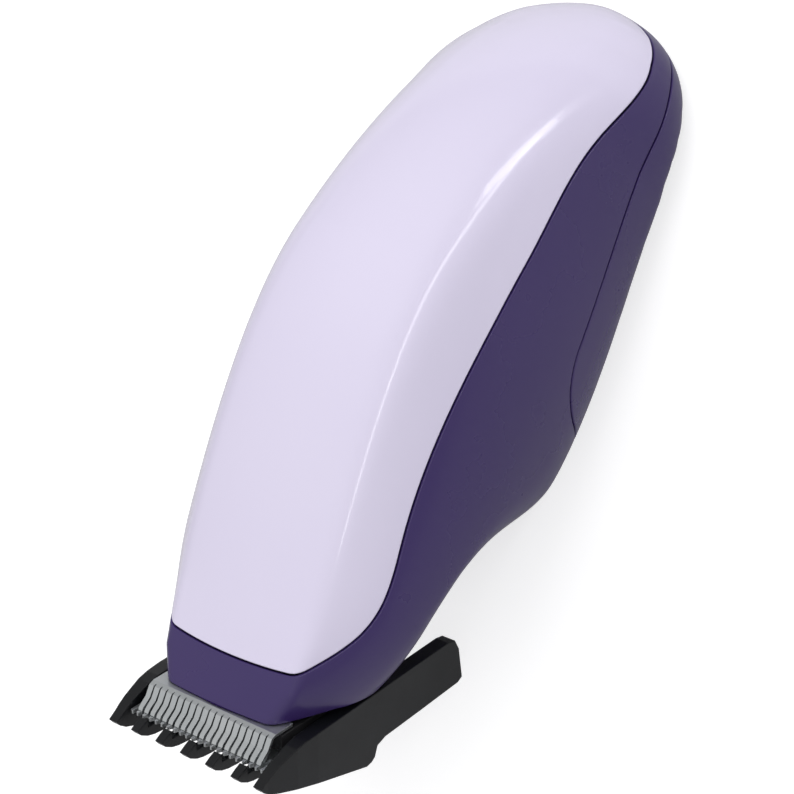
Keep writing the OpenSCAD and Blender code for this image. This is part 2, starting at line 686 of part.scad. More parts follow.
// Seen from above, an arm widens from its tip to its full thickness.
module comb_arm_plan() {
    polygon([
        [arm_in, -6], [arm_in + arm_t - 0.9, -6], [arm_in + arm_t - 0.8, -1.5],
        [arm_in + arm_t - 0.2, 4], [arm_in + arm_t, 8], [arm_in + arm_t, 60], [arm_in, 60]
    ]);
}
module comb_tooth_outline() {
    polygon([
        comb_tip, [-1.8, 0.1], [-0.8, 0.55], [-0.75, -0.65], [5, -0.65], [5, -2.6],
        [2.3, -2.6], [0.5, -2.4], [-0.8, -2.05], [-2.1, -1.35]
    ]);
}
module guide_comb() {
    low = blade_top - blade_t - 0.25;
    lay() at_blade() color(black) {
        both() intersection() {
            translate([arm_in + arm_t / 2, 0, 0]) across(arm_t) comb_arm_outline();
            translate([0, 0, -20]) linear_extrude(40) comb_arm_plan();
        }
        for (i = [0 : comb_teeth - 1])
            translate([(i - (comb_teeth - 1) / 2) * comb_pitch, 0, 0]) across(comb_tooth_w) comb_tooth_outline();
        block([-arm_in - 0.1, arm_in + 0.1], [3, 11], [-2.5, low]);
        both() block([arm_in - 0.3, arm_in + 0.1], [18.4, 19.4], [0.4, 2.6]);
    }
}

// ---- switch --------------------------------------------------------------------------------
module switch_knob() {
    lay() at_blade() color(black) {
        difference() {
            block([-knob_hw, knob_hw], [knob_y - knob_l / 2, knob_y + knob_l / 2], [pad_z - 1.5, pad_z - 0.15]);
            for (i = [-1 : 1])
                translate([0, knob_y + i * 1.2, pad_z - 1.6]) rotate([45, 0, 0]) cube([8, 0.45, 0.45], center = true);
        }
        block([-1, 1], [knob_y - 1.2, knob_y + 1.2], [pad_z - 0.3, pad_top + 1.6]);
    }
}
module switch_body() {
    lay() at_blade() color(steel) difference() {
        block([-4, 4], switch_y, [pad_top + 0.05, switch_top]);
        block([-3.2, 3.2], [switch_y[0] + 0.8, switch_y[1] - 0.8], [pad_top + 0.7, switch_top - 0.8]);
        block([-1.2, 1.2], [knob_y - 1.5, knob_y + knob_way + 1.5], [pad_top - 1, pad_top + 1]);
    }
}
module switch_contact() {
    lay() at_blade() color(brass) difference() {
        block([-2.2, 2.2], [knob_y - 1.9, knob_y + 1.9], [pad_top + 1.6, pad_top + 2.6]);
        block([-1.7, 1.7], [knob_y - 3, knob_y + 3], [pad_top + 2, pad_top + 4]);
    }
}

// ---- leads ---------------------------------------------------------------------------------
lead_r = 0.55;
lead_ball = 1.08 * lead_r;
tab_s = motor_s + motor_l + cap_l + 1.6 + lead_r + 0.05;
term_s = cell_front - 5;
switch_p = to_body(knob_y + 1, switch_top);
module battery_lead() {
    lay() color([0.75, 0.1, 0.1]) wire([
        [cell_x, term_s + 1.2, cell_h0 - 0.9], [cell_x + 2, term_s - 0.2, cell_h0 - 3],
        [cell_x + 2, switch_p[0] + 2, switch_p[1] + 5],
        [2.6, switch_p[0] + 1.6, switch_p[1] + lead_r + 1.4]
    ], lead_r, lead_ball);
}
module ground_lead() {
    lay() color(black) wire([
        [-cell_x, term_s + 1.2, cell_h0 - 0.9], [-cell_x, term_s - 0.4, cell_h0 - 2.2],
        [-7, tab_s + 1, motor_z + 1.2], [-7, tab_s, motor_z]
    ], lead_r, lead_ball);
}
module motor_lead() {
    lay() color([0.9, 0.9, 0.85]) wire([
        [7, tab_s, motor_z], [5.6, tab_s + 0.4, motor_z - 2.2],
        [-2.6, switch_p[0] - 1, switch_p[1] + lead_r + 2], [-2.6, switch_p[0] - 1.2, switch_p[1] + lead_r + 0.6]
    ], lead_r, lead_ball);
}

top_cover();
main_housing();
battery_door();
battery_tray();
tray_screws();
battery_cells();
battery_terminals();
battery_link();
motor_can();
motor_end_cap();
motor_terminals();
motor_magnets();
motor_armature();
shaft_bushes();
eccentric_cam();
cutter_follower();
moving_cutter();
fixed_blade();
blade_carrier();
blade_screws();
cutter_spring();
guide_comb();
switch_knob();
switch_body();
switch_contact();
battery_lead();
ground_lead();
motor_lead();
cover_screw();
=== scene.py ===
"""Builds the looks of a small battery hair clipper on its fixed frame.

The moulded shells are rebuilt here as smooth skins from the body's own curves, with rounded
edges along every seam. The blade set, the guide comb and the works inside keep their frame
shapes and are dressed in procedural finishes.
"""

import logging
import math
from dataclasses import dataclass, field
from enum import Enum

import bmesh
import bpy
import numpy as np
from mathutils import Matrix, Vector
from mathutils.bvhtree import BVHTree

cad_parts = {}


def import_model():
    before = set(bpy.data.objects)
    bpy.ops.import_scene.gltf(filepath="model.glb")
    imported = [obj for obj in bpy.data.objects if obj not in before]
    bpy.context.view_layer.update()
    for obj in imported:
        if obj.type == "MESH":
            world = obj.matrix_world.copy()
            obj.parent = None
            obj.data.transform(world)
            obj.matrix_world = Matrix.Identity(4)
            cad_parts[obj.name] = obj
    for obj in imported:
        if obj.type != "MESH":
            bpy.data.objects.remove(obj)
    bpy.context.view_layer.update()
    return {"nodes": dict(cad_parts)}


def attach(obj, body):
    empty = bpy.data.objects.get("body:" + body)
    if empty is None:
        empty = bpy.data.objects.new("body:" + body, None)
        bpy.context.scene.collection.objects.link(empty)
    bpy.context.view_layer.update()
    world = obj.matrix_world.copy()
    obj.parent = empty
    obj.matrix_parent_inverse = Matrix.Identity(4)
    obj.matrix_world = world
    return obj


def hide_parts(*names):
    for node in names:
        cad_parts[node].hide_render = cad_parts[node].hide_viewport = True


LOG = logging.getLogger("hair_clipper")
MM = 0.001
# A cell's band: the stretch of Y over which it starts, in metres with the cells level, and its grey.
BAND_START = (0.0295, 0.0300)
BAND_GREY = (0.42, 0.43, 0.44)


class Kind(Enum):
    """The families of finish that the clipper's pieces are made in."""

    GLOSS_MOULDED = "gloss moulded plastic"
    MATTE_MOULDED = "matte moulded plastic"
    GROUND_STEEL = "ground steel"
    BRIGHT_METAL = "bright metal"
    SOFT_LEAD = "soft lead jacket"
    SHRINK_JACKET = "shrink jacket"


class Axis(Enum):
    """The direction in which grinding marks run, as a stretch of the grain's coordinates."""

    ACROSS = (0.06, 1.0, 1.0)
    ALONG = (1.0, 0.06, 0.06)


# ---------------------------------------------------------------------------------------------
# Curves of the body
# ---------------------------------------------------------------------------------------------
def mix(a: float, b: float, k: float) -> float:
    """The value k of the way from a to b."""
    return a + (b - a) * k


@dataclass(frozen=True)
class KnotCurve:
    """A smooth curve through knots of place, value and slope, joined by cubics."""

    knots: tuple[tuple[float, float, float], ...]

    def at(self, x: np.ndarray) -> np.ndarray:
        """The curve's value.

        Args:
            x: Places along the curve.

        Returns:
            The values there, one for each place.
        """
        x = np.asarray(x, dtype=float)
        out = np.zeros_like(x)
        last = len(self.knots) - 2
        for i, (p, q) in enumerate(zip(self.knots[:-1], self.knots[1:])):
            low = -np.inf if i == 0 else p[0]
            high = np.inf if i == last else q[0]
            pick = (x > low) & (x <= high)
            h = q[0] - p[0]
            k = (x[pick] - p[0]) / h
            k2, k3 = k * k, k * k * k
            out[pick] = (
                (2 * k3 - 3 * k2 + 1) * p[1]
                + (k3 - 2 * k2 + k) * h * p[2]
                + (3 * k2 - 2 * k3) * q[1]
                + (k3 - k2) * h * q[2]
            )
        return out


@dataclass(frozen=True)
class BodyForm:
    """The clipper's outer form in millimetres, in the body frame (across, along, up).

    Attributes:
        length: Where the tail ends along the body.
        width: Full width.
        drawn_width: The full width that the half-width curve is drawn for.
        crown_height: Height of the top line's highest place.
        hump_depth: Depth of the belly's hump.
        nose: Where the nose starts along the body.
        tail_height: Height at which the tail closes.
        wide_nose: Height of the widest place at the nose.
        wide_tail: The same, on the way to the tail.
        rest_tilt: Lean of the body at rest, in degrees.
        flat_cut: How much is taken off where the body rests.
        blade_tilt: Lean of the blade against the body, in degrees.
        blade_origin: Place of the blade frame's origin, along and up.
        comb_front: The comb's foremost place, in the blade frame.
    """

    length: float = 117.0
    width: float = 47.2
    drawn_width: float = 47.2
    crown_height: float = 29.2
    hump_depth: float = 20.5
    nose: float = -3.6
    tail_height: float = 9.5
    wide_nose: float = -2.5
    wide_tail: float = 4.8
    rest_tilt: float = 24.3
    flat_cut: float = 0.4
    blade_tilt: float = 37.6
    blade_origin: tuple[float, float] = (-9.12, 1.03)
    comb_front: tuple[float, float] = (-1.0, -2.1)

    @property
    def crown(self) -> KnotCurve:
        """The top line."""
        return KnotCurve(((0, 1.9, 108), (0.35, self.crown_height, 0), (1, self.tail_height, -17)))

    @property
    def belly(self) -> KnotCurve:
        """The bottom line."""
        return KnotCurve(
            (
                (0, -8, -150),
                (0.07, -13.8, 0),
                (0.156, -8.9, 72),
                (0.29, -self.hump_depth, 16),
                (0.6, 0.5, 52),
                (1, self.tail_height, 40),
            )
        )

    @property
    def half(self) -> KnotCurve:
        """The half width."""
        return KnotCurve(
            ((0, 10.1, 89), (0.12, 20.2, 33), (0.33, 23.53, 0), (0.61, 22.1, 0), (1, 0, -82))
        )

    @property
    def belly_round(self) -> KnotCurve:
        """How square the belly's corners are, where 2 is an ellipse."""
        return KnotCurve(((0, 2.7, 0), (0.15, 2, 0), (0.3, 2.7, 0), (1, 2.7, 0)))

    @property
    def crease(self) -> KnotCurve:
        """How far the crease stands from the middle."""
        return KnotCurve(((0, 11.3, 15), (0.34, 12.7, 0), (1, 14.2, 0)))

    @property
    def cover_seam(self) -> KnotCurve:
        """The line between cover and housing in the side view."""
        n = self.length
        return KnotCurve(
            (
                (2, 5.7, -0.3),
                (11, 4.15, 0),
                (24, 8.6, 0.55),
                (0.564 * n, 18.1, 0),
                (0.752 * n, 17.2, -0.2),
                (n - 1, 10.2, -0.3),
            )
        )

    @property
    def door_start(self) -> float:
        """Where the battery door's front edge stands."""
        return 0.479 * self.length

    @property
    def door_seam(self) -> KnotCurve:
        """The line between housing and battery door in the side view."""
        n, s = self.length, self.door_start
        return KnotCurve(
            ((s, -3.2, 1.6), (s + 7.5, 2.9, 0.25), (n - 16, 10.1, 0.05), (n - 1.5, 6.9, -0.5))
        )

    def place(self, u: np.ndarray) -> np.ndarray:
        """Length along the body for u from 0 at the nose to 1 at the tail."""
        return self.nose + (self.length - self.nose) * np.sin(np.radians(90 * np.asarray(u)))

    def share(self, s: np.ndarray) -> np.ndarray:
        """The u that belongs to a length along the body."""
        k = np.clip((np.asarray(s) - self.nose) / (self.length - self.nose), 0, 1)
        return np.degrees(np.arcsin(k)) / 90

    def section(self, s: float, count: int) -> np.ndarray:
        """One half of the cross-section, from the crown to the belly.

        Args:
            s: Length along the body.
            count: How many points to return, evenly spread along the curve.

        Returns:
            An array of (across, up) points.
        """
        u = float(self.share(s))
        top = float(self.crown.at(u))
        low = float(self.belly.at(u))
        a = max(0.0, float(self.half.at(u)) * self.width / self.drawn_width)
        middle = mix(mix(self.wide_nose, self.wide_tail, u), self.tail_height, u**4)
        middle = min(max(middle, mix(low, top, 0.15)), mix(low, top, 0.8))
        c = mix(min(float(self.crease.at(u)), 0.93 * a), 0.66 * a, u**3)
        drop = mix(1.2, 3.4, u) * min(1.0, (top - middle) / 12)
        zc = top - drop
        z1 = mix(middle, zc, 0.5)
        k = np.linspace(0, 1, 160)
        arch = np.stack([c * k, top - drop * k * k], 1)
        r = 1 - k
        side = np.stack(
            [r * r * c + (2 * k * r + k * k) * a, r * r * zc + 2 * k * r * z1 + k * k * middle], 1
        )
        q = np.linspace(0, 0.5 * math.pi, 260)
        e = 2 / float(self.belly_round.at(u))
        under = np.stack(
            [
                a * np.maximum(np.cos(q), 0) ** e,
                middle - (middle - low) * np.maximum(np.sin(q), 0) ** e,
            ],
            1,
        )
        soft = mix(1.3, 5.5, min(1.0, max(0.0, s / 95)) ** 1.3)
        upper = self._eased(arch, side, min(soft, 0.4 * c, 0.5 * max(a, 0.01)))
        curve = np.concatenate([upper, under[1:]])
        step = np.linalg.norm(np.diff(curve, axis=0), axis=1)
        run = np.concatenate([[0], np.cumsum(step)])
        keep = np.concatenate([[True], step > 1e-9])
        want = np.linspace(0, run[-1], count)
        return np.stack(
            [np.interp(want, run[keep], curve[keep, 0]), np.interp(want, run[keep], curve[keep, 1])], 1
        )

    @staticmethod
    def _eased(first: np.ndarray, second: np.ndarray, reach: float) -> np.ndarray:
        """Two curves that meet in a corner, with the corner eased over a reach to each side.

        Args:
            first: Points up to the corner.
            second: Points from the corner on.
            reach: How far from the corner the easing starts.

        Returns:
            The joined points.
        """
        corner = first[-1]
        before = first[np.linalg.norm(first - corner, axis=1) > reach]
        after = second[np.linalg.norm(second - corner, axis=1) > reach]
        if len(before) < 2 or len(after) < 2:
            return np.concatenate([first, second[1:]])
        k = np.linspace(0, 1, 40)[1:-1, None]
        bend = (1 - k) ** 2 * before[-1] + 2 * k * (1 - k) * corner + k * k * after[0]
        return np.concatenate([before, bend, after])

    # -- frames ------------------------------------------------------------------------------
    def blade_to_body(self, y: np.ndarray, z: np.ndarray) -> tuple[np.ndarray, np.ndarray]:
        """A place in the blade frame's side view, given in the body frame's.

        Args:
            y: Places back along the blade.
            z: Places up from the blade.

        Returns:
            The places along the body and up from it.
        """
        t = math.radians(self.blade_tilt)
        s = self.blade_origin[0] + y * math.cos(t) + z * math.sin(t)
        h = self.blade_origin[1] - y * math.sin(t) + z * math.cos(t)
        return s, h

    def body_to_blade(self, s: np.ndarray, h: np.ndarray) -> tuple[np.ndarray, np.ndarray]:
        """A place in the body frame's side view, given in the blade frame's.

        Args:
            s: Places along the body.
            h: Places up from it.

        Returns:
            The places back along the blade and up from it.
        """
        t = math.radians(self.blade_tilt)
        a, b = s - self.blade_origin[0], h - self.blade_origin[1]
        return a * math.cos(t) - b * math.sin(t), a * math.sin(t) + b * math.cos(t)

    def rest_offset(self) -> tuple[float, float]:
        """The place in the laid body that becomes its origin, the bottom centre.

        Returns:
            The middle of its length and its lowest height, in millimetres.
        """
        t = math.radians(self.rest_tilt)
        u = np.linspace(0, 1, 201)
        s = self.place(u)
        low = float(np.min(-s * math.sin(t) + self.belly.at(u) * math.cos(t))) + self.flat_cut
        back = float(np.max(s * math.cos(t) + self.crown.at(u) * math.sin(t)))
        tip = self.blade_to_body(*self.comb_front)
        front = tip[0] * math.cos(t) + tip[1] * math.sin(t)
        return (front + back) / 2, low

    def laid(self, points: np.ndarray) -> np.ndarray:
        """Body-frame points in millimetres, laid at rest on the table, in metres.

        Args:
            points: The points, one to a row.

        Returns:
            The laid points.
        """
        t = math.radians(self.rest_tilt)
        shift, low = self.rest_offset()
        x, s, h = points[:, 0], points[:, 1], points[:, 2]
        y = s * math.cos(t) + h * math.sin(t) - shift
        z = -s * math.sin(t) + h * math.cos(t) - low
        return np.stack([x, y, z], 1) * MM


# ---------------------------------------------------------------------------------------------
# Skins: a dense surface, trimmed to its seams, with rounded edges turned inwards
# ---------------------------------------------------------------------------------------------
@dataclass
class Trim:
    """One line that a skin is trimmed to.

    Attributes:
        values: Distance inside the line at each point of the surface, in millimetres.
        outward: Direction across the line, out of the piece, at each point.
        radius: Radius of the rounded edge.
        depth: How far the edge turns inwards after its rounding.
    """

    values: np.ndarray
    outward: np.ndarray
    radius: float = 0.22
    depth: float = 1.3


class Skin:
    """A trimmed half surface in the body frame, kept as points with their normals and faces."""

    def __init__(self, points: np.ndarray, normals: np.ndarray, faces: list[tuple[int, ...]]) -> None:
        """Starts a skin.

        Args:
            points: The surface's points.
            normals: The outward normal at each point.
            faces: Corners of each face.
        """
        self.points = points
        self.normals = normals
        self.faces = faces

    def trim(self, trims: list[Trim]) -> None:
        """Cuts the surface to each line in turn and turns its new edges inwards.

        Args:
            trims: The lines, each with its values at the surface's points.
        """
        columns = [t.values for t in trims]
        outs = [t.outward for t in trims]
        tags: dict[tuple[int, int], int] = {}
        data = np.concatenate(
            [self.points, self.normals] + [c[:, None] for c in columns] + outs, axis=1
        )
        faces = self.faces
        for number, t in enumerate(trims):
            data, faces, tags = self._cut(data, faces, 6 + number, number, tags)
        self.points = data[:, :3]
        n = data[:, 3:6]
        self.normals = n / np.maximum(np.linalg.norm(n, axis=1, keepdims=True), 1e-12)
        self.faces = faces
        base = 6 + len(trims)
        rows: list[np.ndarray] = [self.points]
        norms: list[np.ndarray] = [self.normals]
        total = len(self.points)
        for number, t in enumerate(trims):
            edges = [e for e, tag in tags.items() if tag == number]
            if not edges:
                continue
            used = sorted({v for e in edges for v in e})
            index = {v: i for i, v in enumerate(used)}
            p = self.points[used]
            n = self.normals[used]
            b = data[used][:, base + 3 * number : base + 3 * number + 3]
            b = b - (b * n).sum(1, keepdims=True) * n
            b = b / np.maximum(np.linalg.norm(b, axis=1, keepdims=True), 1e-9)
            ring_before = np.array(used)
            for step in (1, 2, 3, 4):
                angle = 0.5 * math.pi * min(step, 3) / 3
                move = b * t.radius * math.sin(angle) - n * t.radius * (1 - math.cos(angle))
                if step == 4:
                    move = move - n * t.depth
                rows.append(p + move)
                norms.append(b * math.sin(angle) + n * math.cos(angle))
                ring_now = total + np.arange(len(used))
                total += len(used)
                for v0, v1 in edges:
                    i, j = index[v0], index[v1]
                    self.faces.append(
                        (int(ring_before[j]), int(ring_before[i]), int(ring_now[i]), int(ring_now[j]))
                    )
                ring_before = ring_now
        self.points = np.concatenate(rows)
        self.normals = np.concatenate(norms)

    @staticmethod
    def _cut(
        data: np.ndarray,
        faces: list[tuple[int, ...]],
        column: int,
        number: int,
        tags: dict[tuple[int, int], int],
    ) -> tuple[np.ndarray, list[tuple[int, ...]], dict[tuple[int, int], int]]:
        """Keeps the part of every face where one column of the data isn't negative.

        Args:
            data: One row of values for each point.
            faces: The faces' corners.
            column: The column that is tested.
            number: The tag for edges that this cut makes.
            tags: Tags of edges made by earlier cuts.

        Returns:
            The new data, faces and edge tags.
        """
        value = data[:, column]
        new_rows: list[np.ndarray] = []
        made: dict[tuple[int, int], int] = {}
        fresh: dict[tuple[int, int], int] = {}
        out_faces: list[tuple[int, ...]] = []
        count = len(data)
        kept_tags: dict[tuple[int, int], int] = {}

        def crossing(i: int, j: int) -> int:
            """The point where an edge crosses the line, made once for both of its faces.

            Args:
                i: The edge's first point.
                j: Its second point.

            Returns:
                The new point's number.
            """
            key = (i, j) if i < j else (j, i)
            if key not in made:
                k = value[i] / (value[i] - value[j])
                new_rows.append(data[i] + (data[j] - data[i]) * k)
                made[key] = count + len(new_rows) - 1
            return made[key]

        for face in faces:
            v = [value[i] for i in face]
            if min(v) >= 0:
                out_faces.append(face)
                m = len(face)
                for k in range(m):
                    e = (face[k], face[(k + 1) % m])
                    if e in tags:
                        kept_tags[e] = tags[e]
                continue
            if max(v) < 0:
                continue
            poly: list[int] = []
            origin: list[int | None] = []
            m = len(face)
            for k in range(m):
                i, j = face[k], face[(k + 1) % m]
                old = tags.get((i, j))
                if value[i] >= 0:
                    poly.append(i)
                    origin.append(old)
                    if value[j] < 0:
                        poly.append(crossing(i, j))
                        origin.append(number)
                elif value[j] >= 0:
                    poly.append(crossing(i, j))
                    origin.append(old)
            if len(poly) < 3:
                continue
            out_faces.append(tuple(poly))
            for k in range(len(poly)):
                tag = origin[k]
                if tag is not None:
                    fresh[(poly[k], poly[(k + 1) % len(poly)])] = tag
        kept_tags.update(fresh)
        if new_rows:
            data = np.concatenate([data, np.array(new_rows)])
        return data, out_faces, kept_tags

    def mirrored(self) -> tuple[np.ndarray, np.ndarray, list[tuple[int, ...]]]:
        """The whole surface: this half and its mirror image, joined along the middle.

        Returns:
            Points, normals and faces.
        """
        n = len(self.points)
        middle = np.abs(self.points[:, 0]) < 1e-7
        twin = np.where(middle, np.arange(n), np.arange(n) + n)
        points = np.concatenate([self.points, self.points * [-1, 1, 1]])
        normals = self.normals.copy()
        normals[middle, 0] = 0
        normals = np.concatenate([normals, normals * [-1, 1, 1]])
        faces = list(self.faces) + [tuple(int(twin[i]) for i in reversed(f)) for f in self.faces]
        return points, normals, faces


def mesh_object(
    name: str,
    points: np.ndarray,
    faces: list[tuple[int, ...]],
    normals: np.ndarray | None = None,
    smooth: bool = True,
) -> bpy.types.Object:
    """Makes a mesh object from arrays, dropping points that no face uses.

    Args:
        name: The object's name.
        points: Points in metres.
        faces: Corners of each face.
        normals: Normals to shade with, one for each point, or None.
        smooth: Whether the faces are shaded smooth.

    Returns:
        The linked object.
    """
    used = sorted({i for f in faces for i in f})
    index = {v: i for i, v in enumerate(used)}
    mesh = bpy.data.meshes.new(name)
    mesh.from_pydata(points[used].tolist(), [], [tuple(index[i] for i in f) for f in faces])
    mesh.validate()
    for polygon in mesh.polygons:
        polygon.use_smooth = smooth
    if normals is not None and len(mesh.vertices) == len(used):
        n = normals[used]
        n = n / np.maximum(np.linalg.norm(n, axis=1, keepdims=True), 1e-12)
        mesh.normals_split_custom_set_from_vertices(n.tolist())
    mesh.update()
    piece = bpy.data.objects.new(name, mesh)
    bpy.context.scene.collection.objects.link(piece)
    return piece


@dataclass
class MouldedShells:
    """The cover, the housing and the battery door as smooth skins with rounded seam edges.

    Attributes:
        form: The body's form.
        gap: Open line between two shells.
        edge: Radius of the edges along the seams.
        turn: How far an edge turns inwards, which is the wall that shows in the gap.
        ring_points: Points in one half of a cross-section.
        nose_z: Height of the nose's cut over the blade, in the blade frame.
        space_front: How far back the nose's cut runs.
        space_back: How far back the pocket behind the blade set runs.
        rebate_x: Where the rebates for the comb's arms start.
        rebate_z: Height of those rebates.
        rebate_back: How far back they run.
        recess_x: Half width of the switch's recess.
        recess_y: Where the recess starts and ends along the blade's frame.
        recess_z: Height of its floor.
        slot_x: Half width of the knob's slot.
        slot_y: Where the slot starts and ends.
        slot_top: How high the slot's walls go.
        hole_y: Place of the counterbore under the tongue's screw.
        hole_r: Its radius.
        hole_z: Its height.
    """

    form: BodyForm = field(default_factory=BodyForm)
    gap: float = 0.3
    edge: float = 0.2
    turn: float = 1.6
    ring_points: int = 76
    nose_z: float = 4.1
    space_front: float = 14.0
    space_back: float = 17.5
    rebate_x: float = 12.095
    rebate_z: float = 3.85
    rebate_back: float = 43.0
    recess_x: float = 6.0
    recess_y: tuple[float, float] = (41.8, 51.2)
    recess_z: float = 17.4
    slot_x: float = 1.3
    slot_y: tuple[float, float] = (44.6, 50.3)
    slot_top: float = 19.3
    hole_y: float = 19.6
    hole_r: float = 2.1
    hole_z: float = 0.7

    def __post_init__(self) -> None:
        """Lays out the surface that all three shells are cut from."""
        self.points, self.normals, self.faces = self._surface()

    def _surface(self) -> tuple[np.ndarray, np.ndarray, list[tuple[int, ...]]]:
        """The half of the outer surface on the +X side.

        Returns:
            Points, outward normals and faces in the body frame.
        """
        f = self.form
        stations = np.concatenate(
            [
                np.arange(-3.5, 9, 0.24),
                np.arange(9, 98, 0.75),
                f.place(np.linspace(float(f.share(98)), 0.9985, 64)),
            ]
        )
        k = self.ring_points
        grid = np.zeros((len(stations), k, 3))
        for i, s in enumerate(stations):
            ring = f.section(float(s), k)
            grid[i, :, 0] = ring[:, 0]
            grid[i, :, 1] = s
            grid[i, :, 2] = ring[:, 1]
        grid[:, 0, 0] = 0
        grid[:, -1, 0] = 0
        along = np.gradient(grid, axis=0)
        around = np.gradient(grid, axis=1)
        normal = np.cross(along, around)
        normal[:, 0] = np.cross(along[:, 0], np.array([1.0, 0, 0]))
        normal[:, -1] = np.cross(along[:, -1], np.array([-1.0, 0, 0]))
        size = np.linalg.norm(normal, axis=2, keepdims=True)
        normal = normal / np.maximum(size, 1e-12)
        centre = grid.mean(axis=1, keepdims=True) * [0, 1, 1]
        if float(((grid - centre) * normal).sum(2)[len(stations) // 2].mean()) < 0:
            normal = -normal
        points = grid.reshape(-1, 3)
        normals = normal.reshape(-1, 3)
        faces = [
            (i * k + j, i * k + j + 1, (i + 1) * k + j + 1, (i + 1) * k + j)
            for i in range(len(stations) - 1)
            for j in range(k - 1)
        ]
        pole = len(points)
        points = np.concatenate([points, [[0, f.length, f.tail_height]]])
        normals = np.concatenate([normals, [[0, 1.0, 0]]])
        last = (len(stations) - 1) * k
        faces += [(last + j, last + j + 1, pole) for j in range(k - 1)]
        sample = faces[len(faces) // 2]
        a, b, c = (points[i] for i in sample[:3])
        if float(np.dot(np.cross(b - a, c - a), normals[sample[0]])) < 0:
            faces = [tuple(reversed(q)) for q in faces]
        return points, normals, faces

    # -- distances ---------------------------------------------------------------------------
    def _in_surface(self, distance: np.ndarray, direction: np.ndarray) -> np.ndarray:
        """A distance in space turned into a distance along the surface.

        Args:
            distance: The distance at each point.
            direction: The direction it is measured in.

        Returns:
            The distance along the surface at each point.
        """
        lean = (direction * self.normals).sum(1, keepdims=True)
        flat = direction - lean * self.normals
        return distance / np.clip(np.linalg.norm(flat, axis=1), 0.3, 1)

    def _seam(self) -> tuple[np.ndarray, np.ndarray]:
        """Distance above the cover's seam, and the direction in which it grows.

        Returns:
            The distance along the surface and the direction at each point.
        """
        f = self.form
        s, h = self.points[:, 1], self.points[:, 2]
        inside = np.clip(s, 2, f.length - 1)
        level = f.cover_seam.at(inside) - 0.3 * (s - inside)
        slope = (f.cover_seam.at(inside + 0.01) - f.cover_seam.at(inside - 0.01)) / 0.02
        way = np.stack([np.zeros_like(s), -slope, np.ones_like(s)], 1)
        size = np.linalg.norm(way, axis=1)
        way = way / size[:, None]
        return self._in_surface((h - level) / size, way), way

    def _door(self) -> tuple[np.ndarray, np.ndarray]:
        """Distance inside the battery door's outline, and the direction in which it grows.

        Returns:
            The distance along the surface and the direction at each point.
        """
        f = self.form
        s0 = f.door_start
        run = np.linspace(s0, f.length - 1.5, 160)
        line = np.concatenate(
            [
                [[s0, -60.0]],
                np.stack([run, f.door_seam.at(run)], 1),
                [[f.length + 20, -2.0]],
            ]
        )
        corner = line[1]
        bend = int(np.searchsorted(line[1:, 0], s0 + 2.0)) + 1
        k = np.linspace(0, 1, 9)[:, None]
        below = corner - np.array([0, 3.2])
        eased = below * (1 - k) ** 2 + 2 * corner * k * (1 - k) + line[bend] * k * k
        line = np.concatenate([line[:1], eased, line[bend + 1 :]])
        p = self.points[:, 1:3]
        best = np.full(len(p), 1e9)
        near = np.zeros_like(p)
        for a, b in zip(line[:-1], line[1:]):
            d = b - a
            k = np.clip(((p - a) @ d) / float(d @ d), 0, 1)
            q = a + k[:, None] * d
            dist = np.linalg.norm(p - q, axis=1)
            closer = dist < best
            best = np.where(closer, dist, best)
            near[closer] = q[closer]
        level = np.interp(p[:, 0], line[1:, 0], line[1:, 1])
        within = (p[:, 0] > s0) & (p[:, 1] < level)
        sign = np.where(within, 1.0, -1.0)
        way2 = (p - near) * sign[:, None]
        size = np.maximum(np.linalg.norm(way2, axis=1, keepdims=True), 1e-9)
        way = np.concatenate([np.zeros((len(p), 1)), way2 / size], 1)
        return self._in_surface(best * sign, way), way

    def _outside(self, spaces: list[list[tuple[np.ndarray, np.ndarray]]]) -> tuple[np.ndarray, np.ndarray]:
        """Distance outside some spaces, and the direction it grows in.

        Args:
            spaces: The walls of each space, as the distance beyond a wall and its direction.

        Returns:
            The distance along the surface and the direction at each point.
        """
        count = len(self.points)
        value = np.full(count, 1e9)
        way = np.zeros((count, 3))
        for walls in spaces:
            v = np.stack([w[0] for w in walls])
            pick = v.argmax(0)
            high = v.max(0)
            directions = np.stack([np.broadcast_to(w[1], (count, 3)) for w in walls])
            lower = high < value
            value = np.where(lower, high, value)
            way[lower] = directions[pick, np.arange(count)][lower]
        return self._in_surface(value, way), way

    def _blade_axes(self) -> tuple[np.ndarray, np.ndarray, np.ndarray, np.ndarray, np.ndarray, np.ndarray]:
        """Places of the surface in the blade's frame, and that frame's directions.

        Returns:
            Places across, back and up, and the directions across, back and up.
        """
        x, s, h = self.points.T
        y, z = self.form.body_to_blade(s, h)
        t = math.radians(self.form.blade_tilt)
        back = np.array([0, math.cos(t), -math.sin(t)])
        up = np.array([0, math.sin(t), math.cos(t)])
        return x, y, z, np.array([1.0, 0, 0]), back, up

    def _blade_space(self) -> tuple[np.ndarray, np.ndarray]:
        """The space cut for the blade set and for the comb's arms.

        Returns:
            The distance along the surface and the direction at each point.
        """
        x, y, z, side, back, up = self._blade_axes()
        return self._outside(
            [
                [(y - self.space_front, back), (z - self.nose_z, up)],
                [(self.rebate_x - x, -side), (z - self.rebate_z, up), (y - self.rebate_back, back)],
                [(x - self.rebate_x - 1, side), (y - self.space_back, back), (z - self.nose_z, up)],
            ]
        )

    def _switch_recess(self) -> tuple[np.ndarray, np.ndarray]:
        """The shallow recess that the switch knob slides in.

        Returns:
            The distance along the surface and the direction at each point.
        """
        x, y, z, side, back, up = self._blade_axes()
        front, rear = self.recess_y
        return self._outside(
            [[(x - self.recess_x, side), (y - rear, back), (front - y, -back), (z - self.recess_z, up)]]
        )

